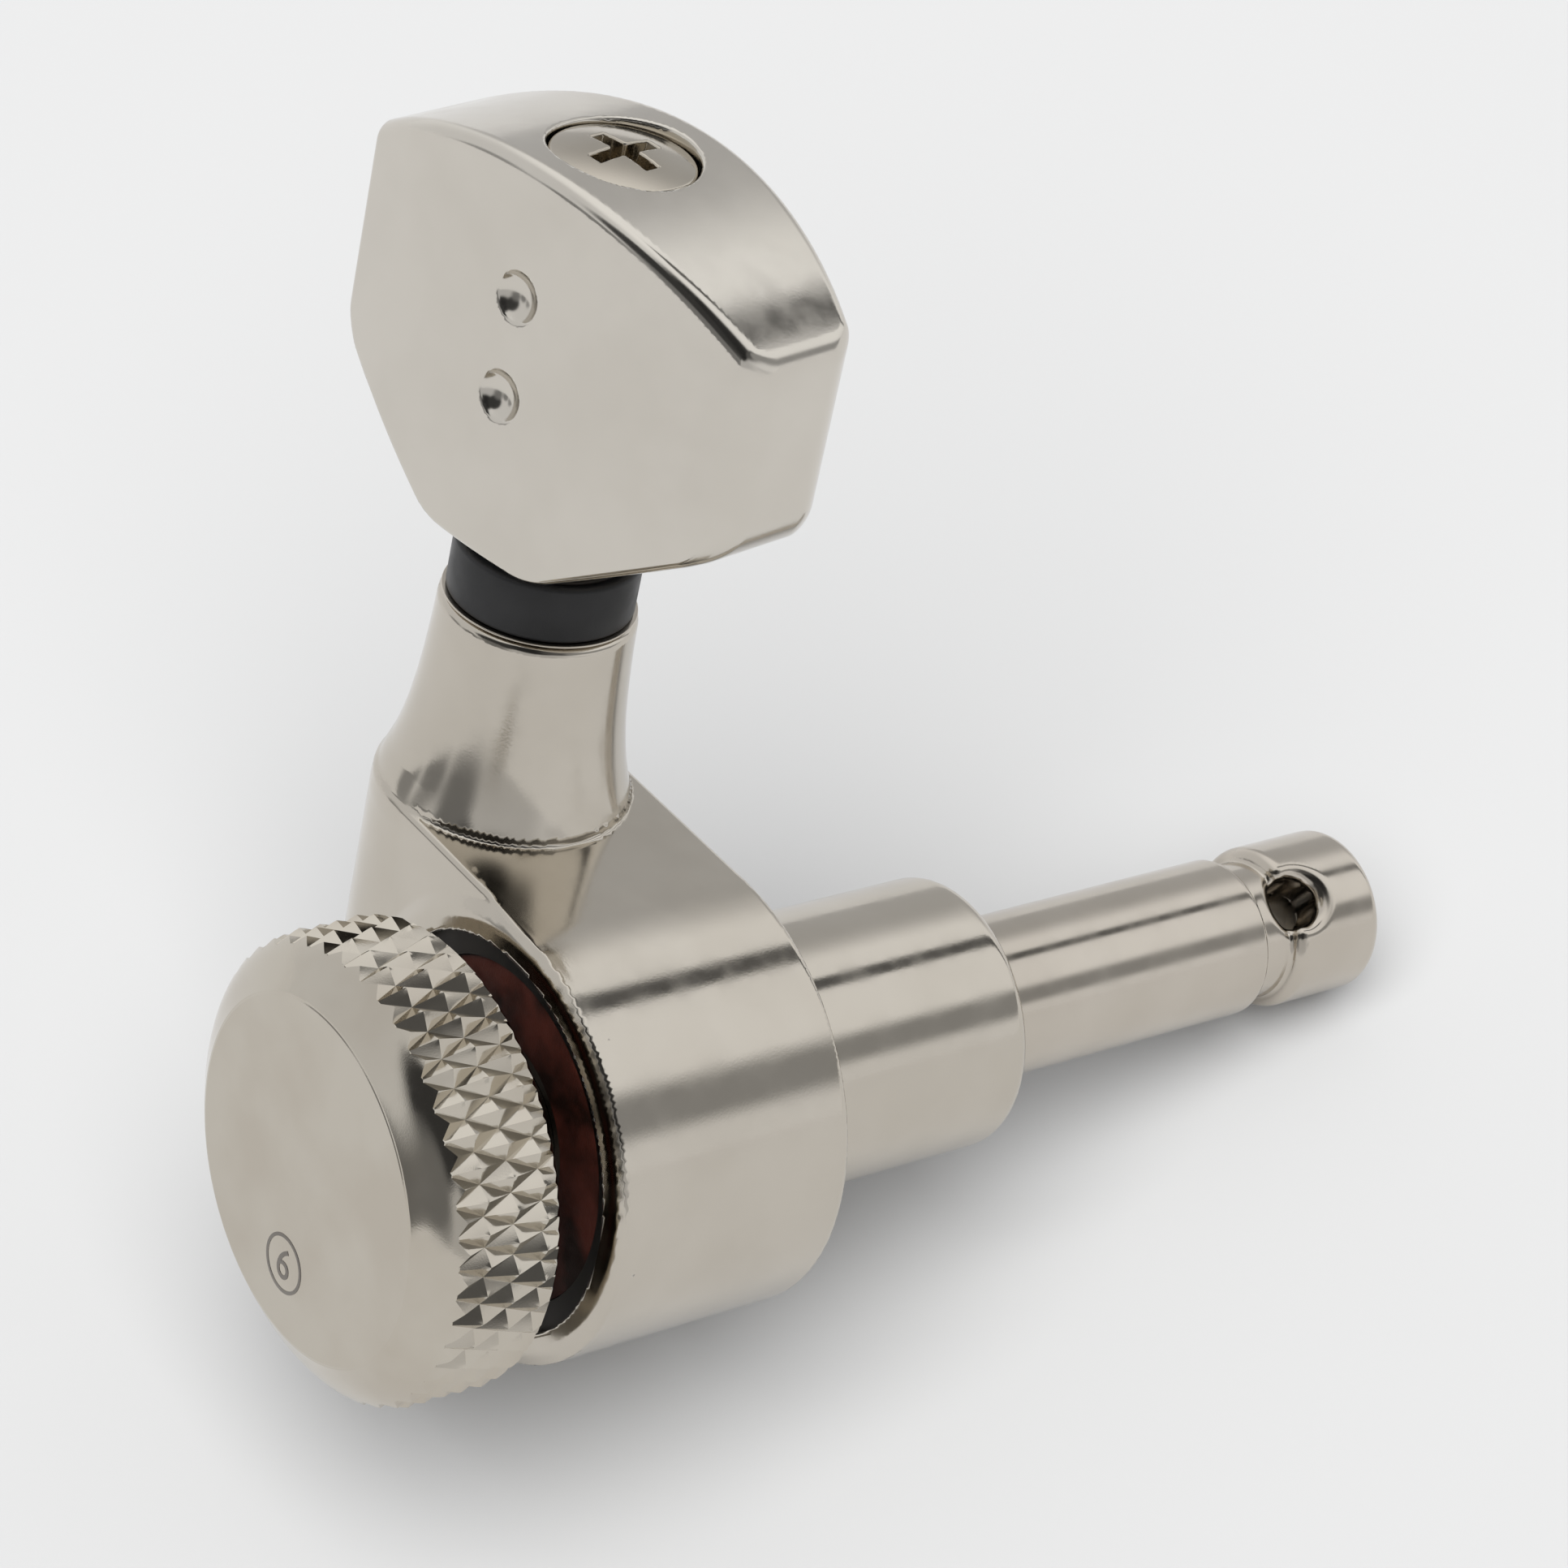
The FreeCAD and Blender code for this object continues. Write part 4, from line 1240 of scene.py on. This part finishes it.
    def mark_ring(self) -> Skin:
        """The ring round the number."""
        half = self.mark_line / 2.0
        rise, inner, outer = self.mark_rise, self.mark_radius - half, self.mark_radius + half
        outline = np.array([(-rise, inner), (-rise, outer), (rise, outer), (rise, inner)])
        along = np.repeat(outline[:, :1], self.mark_count, axis=1) + self.face
        radius = np.repeat(outline[:, 1:], self.mark_count, axis=1)
        skin = turned_skin(along, radius, Axis.POST, loop=True)
        skin.vertices += np.array([0.0, *self.mark_place])
        return skin

    def build(self) -> None:
        """Makes the wheel and its mark, and dresses the stem."""
        seat(self.skin().piece("knurled_wheel", self.crease), NICKEL_KNURL, Body.THUMB_WHEEL, "thumb_wheel")
        seat(self.mark(), NICKEL_ETCHED, Body.THUMB_WHEEL)
        seat(self.mark_ring().piece("wheel_ring"), NICKEL_ETCHED, Body.THUMB_WHEEL)
        STEEL.dress(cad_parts["lock_screw"])
        RUBBER.dress(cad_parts["stem_seal"])


@dataclass(frozen=True)
class Lobe:
    """A soft round patch of the surroundings.

    Attributes:
        azimuth: Where it stands, in degrees from ahead of the camera, to the right.
        elevation: Its height over the floor, in degrees.
        inner: Radius of its even part, in degrees.
        outer: Radius at which it has faded away, in degrees.
        level: Its brightness.
    """

    azimuth: float
    elevation: float
    inner: float
    outer: float
    level: float


@dataclass(frozen=True)
class LightBand:
    """A soft strip of the surroundings that runs along the post, in front of the seat.

    Attributes:
        angle: Where it stands round the post, in degrees from +Y towards +Z.
        half_width: Half its width, in degrees.
        softness: How many degrees its edge takes to fade.
        level: Its brightness.
    """

    angle: float
    half_width: float
    softness: float
    level: float


@dataclass(frozen=True)
class Sums:
    """Writes sums as nodes.

    Attributes:
        tree: The nodes that they are added to.
    """

    tree: bpy.types.NodeTree

    def maths(self, kind: str, first: bpy.types.NodeSocket,
              second: float | bpy.types.NodeSocket | None = None) -> bpy.types.NodeSocket:
        """Adds a sum of one or two values.

        Args:
            kind: The kind of sum.
            first: The first value.
            second: The second value, or None where the sum has one.

        Returns:
            The result.
        """
        node = self.tree.nodes.new("ShaderNodeMath")
        node.operation = kind
        self.tree.links.new(first, node.inputs[0])
        if isinstance(second, bpy.types.NodeSocket):
            self.tree.links.new(second, node.inputs[1])
        elif second is not None:
            node.inputs[1].default_value = second
        return node.outputs[0]

    def fade(self, value: bpy.types.NodeSocket, gone: float, full: float) -> bpy.types.NodeSocket:
        """Goes smoothly from 0 to 1 as the value goes from gone to full."""
        node = self.tree.nodes.new("ShaderNodeMapRange")
        node.interpolation_type = "SMOOTHSTEP"
        node.inputs["From Min"].default_value = gone
        node.inputs["From Max"].default_value = full
        self.tree.links.new(value, node.inputs["Value"])
        return node.outputs["Result"]

    def laid_over(self, below: float | bpy.types.NodeSocket, share: bpy.types.NodeSocket,
                  level: float) -> bpy.types.NodeSocket:
        """Lays a level over what is there.

        Args:
            below: What is there: one value, or a socket.
            share: How much of the level covers it, from 0 to 1.
            level: The level laid over it.

        Returns:
            The mixed level.
        """
        node = self.tree.nodes.new("ShaderNodeMix")
        self.tree.links.new(share, node.inputs[MIX_FACTOR])
        if isinstance(below, float):
            node.inputs[MIX_LEVEL_A].default_value = below
        else:
            self.tree.links.new(below, node.inputs[MIX_LEVEL_A])
        node.inputs[MIX_LEVEL_B].default_value = level
        return node.outputs[0]


@dataclass
class Studio:
    """The camera, the pale floor and the soft surroundings."""

    right: tuple[float, float, float] = (0.79551, -0.57557, 0.18941)
    up: tuple[float, float, float] = (0.18056, 0.52356, 0.83264)
    ahead: tuple[float, float, float] = (0.57841, 0.62817, -0.52043)
    camera_place: tuple[float, float, float] = (-92.98264, -101.5343, 96.16176)
    lens: float = 109.876
    sensor: float = 36.0
    clip: tuple[float, float] = (0.005, 20.0)
    floor_lean: float = 44.0
    floor_depth: float = 10.945
    floor_half: float = 2000.0
    floor_colour: tuple[float, float, float] = (0.38, 0.38, 0.38)
    floor_roughness: float = 0.9
    floor_gloss: float = 0.1
    tent_colour: tuple[float, float, float] = (0.985, 0.99, 1.0)
    base_level: float = 0.92
    band_fade: float = 0.15
    lamp_place: tuple[float, float] = (-170.0, 60.0)
    lamp_power: float = 5.9
    lamp_spread: float = 60.0
    lobes: tuple[Lobe, ...] = (
        Lobe(-80.0, 30.0, 10.0, 60.0, 0.78),
        Lobe(22.0, 58.0, 15.0, 46.0, 1.12),
        Lobe(68.0, 36.0, 15.0, 40.0, 1.06),
        Lobe(12.0, 8.0, 10.0, 32.0, 0.55),
        Lobe(180.0, 8.0, 20.0, 50.0, 0.60),
        Lobe(172.0, 50.0, 22.0, 34.0, 0.03),
        Lobe(-138.0, 40.0, 19.0, 28.0, 0.05),
        Lobe(132.0, 38.0, 10.0, 26.0, 0.12),
        Lobe(-136.0, 12.0, 8.0, 22.0, 0.22),
        Lobe(-84.0, 3.0, 5.0, 13.0, 0.34),
        Lobe(-108.0, 5.0, 6.0, 15.0, 0.26),
    )
    bands: tuple[LightBand, ...] = (
        LightBand(89.5, 3.2, 4.0, 0.12),
        LightBand(147.0, 6.0, 10.0, 0.36),
        LightBand(177.0, 0.8, 2.6, 0.55),
    )

    def floor_normal(self) -> Vector:
        """Upwards from the floor: the camera's up, leaned back by the floor's lean."""
        lean = math.radians(self.floor_lean)
        return Vector(self.up) * math.cos(lean) - Vector(self.ahead) * math.sin(lean)

    def camera(self) -> None:
        """Puts the camera at the photograph's viewing angle."""
        data = bpy.data.cameras.new("camera")
        data.lens = self.lens
        data.sensor_width = self.sensor
        data.clip_start, data.clip_end = self.clip
        made = bpy.data.objects.new("camera", data)
        columns = Matrix((self.right, self.up, tuple(-v for v in self.ahead))).transposed()
        made.matrix_world = Matrix.Translation(Vector(self.camera_place) * MILLIMETRE) @ columns.to_4x4()
        bpy.context.scene.collection.objects.link(made)
        bpy.context.scene.camera = made

    def floor(self) -> None:
        """Lays the floor under the lug and the post's cap. From below it isn't seen."""
        normal = self.floor_normal()
        side = Vector(self.right)
        onward = normal.cross(side)
        centre = -normal * self.floor_depth
        signs = ((-1, -1), (1, -1), (1, 1), (-1, 1))
        corners = [centre + (side * a + onward * b) * self.floor_half for a, b in signs]
        skin = Skin(np.array(corners), np.array([[0, 1, 2, 3]]), np.zeros((0, 3), dtype=int))
        piece = skin.piece("floor")
        paper = bpy.data.materials.new("pale_floor")
        paper.use_nodes = True
        tree = paper.node_tree
        shader = tree.nodes["Principled BSDF"]
        shader.inputs["Base Color"].default_value = (*self.floor_colour, 1.0)
        shader.inputs["Roughness"].default_value = self.floor_roughness
        shader.inputs["Specular IOR Level"].default_value = self.floor_gloss
        geometry = tree.nodes.new("ShaderNodeNewGeometry")
        clear = tree.nodes.new("ShaderNodeBsdfTransparent")
        mix = tree.nodes.new("ShaderNodeMixShader")
        tree.links.new(geometry.outputs["Backfacing"], mix.inputs[0])
        tree.links.new(shader.outputs["BSDF"], mix.inputs[1])
        tree.links.new(clear.outputs["BSDF"], mix.inputs[2])
        tree.links.new(mix.outputs["Shader"], tree.nodes["Material Output"].inputs["Surface"])
        piece.data.materials.append(paper)

    def lamp(self) -> None:
        """Hangs a wide soft lamp over the floor. It draws the shadows and isn't mirrored in the metal."""
        data = bpy.data.lights.new("lamp", "SUN")
        data.energy = self.lamp_power
        data.angle = math.radians(self.lamp_spread)
        made = bpy.data.objects.new("lamp", data)
        made.rotation_euler = self.toward(*self.lamp_place).to_track_quat("Z", "Y").to_euler()
        made.visible_glossy = False
        bpy.context.scene.collection.objects.link(made)

    def toward(self, azimuth: float, elevation: float) -> Vector:
        """A direction over the floor."""
        up = self.floor_normal()
        side = Vector(self.right)
        onward = up.cross(side)
        turn, rise = math.radians(azimuth), math.radians(elevation)
        return (onward * math.cos(turn) + side * math.sin(turn)) * math.cos(rise) + up * math.sin(rise)

    def surroundings(self) -> None:
        """Lights the scene with a pale tent: an even level, then soft patches and strips over it in turn."""
        world = bpy.data.worlds.new("tent")
        bpy.context.scene.world = world
        world.use_nodes = True
        tree = world.node_tree
        sums = Sums(tree)
        place = tree.nodes.new("ShaderNodeTexCoord").outputs["Generated"]
        split = tree.nodes.new("ShaderNodeSeparateXYZ")
        tree.links.new(place, split.inputs[0])
        level = self.base_level
        for lobe in self.lobes:
            dot = tree.nodes.new("ShaderNodeVectorMath")
            dot.operation = "DOT_PRODUCT"
            dot.inputs[1].default_value = self.toward(lobe.azimuth, lobe.elevation)
            tree.links.new(place, dot.inputs[0])
            gone = math.cos(math.radians(lobe.outer))
            full = math.cos(math.radians(lobe.inner))
            level = sums.laid_over(level, sums.fade(dot.outputs["Value"], gone, full), lobe.level)
        turn = sums.maths("ARCTAN2", split.outputs[2], split.outputs[1])
        round_post = sums.maths("MULTIPLY", turn, 180.0 / math.pi)
        in_front = sums.fade(split.outputs[0], 0.0, self.band_fade)
        for band in self.bands:
            off = sums.maths("ABSOLUTE", sums.maths("SUBTRACT", round_post, band.angle))
            inside = sums.fade(off, band.half_width + band.softness, band.half_width)
            level = sums.laid_over(level, sums.maths("MULTIPLY", inside, in_front), band.level)
        background = tree.nodes["Background"]
        background.inputs["Color"].default_value = (*self.tent_colour, 1.0)
        tree.links.new(level, background.inputs["Strength"])

    def build(self) -> None:
        """Sets the stage."""
        self.camera()
        self.floor()
        self.lamp()
        self.surroundings()
        bpy.context.scene.view_settings.view_transform = "Standard"


def main() -> None:
    """Builds the tuning machine and its studio."""
    logging.basicConfig(level=logging.INFO, format="%(message)s")
    Studio().build()
    Housing().build()
    StringPost().build()
    NeckWashers().build()
    Button().build()
    ButtonScrew().build()
    ThumbWheel().build()


if __name__ == "__main__":
    main()
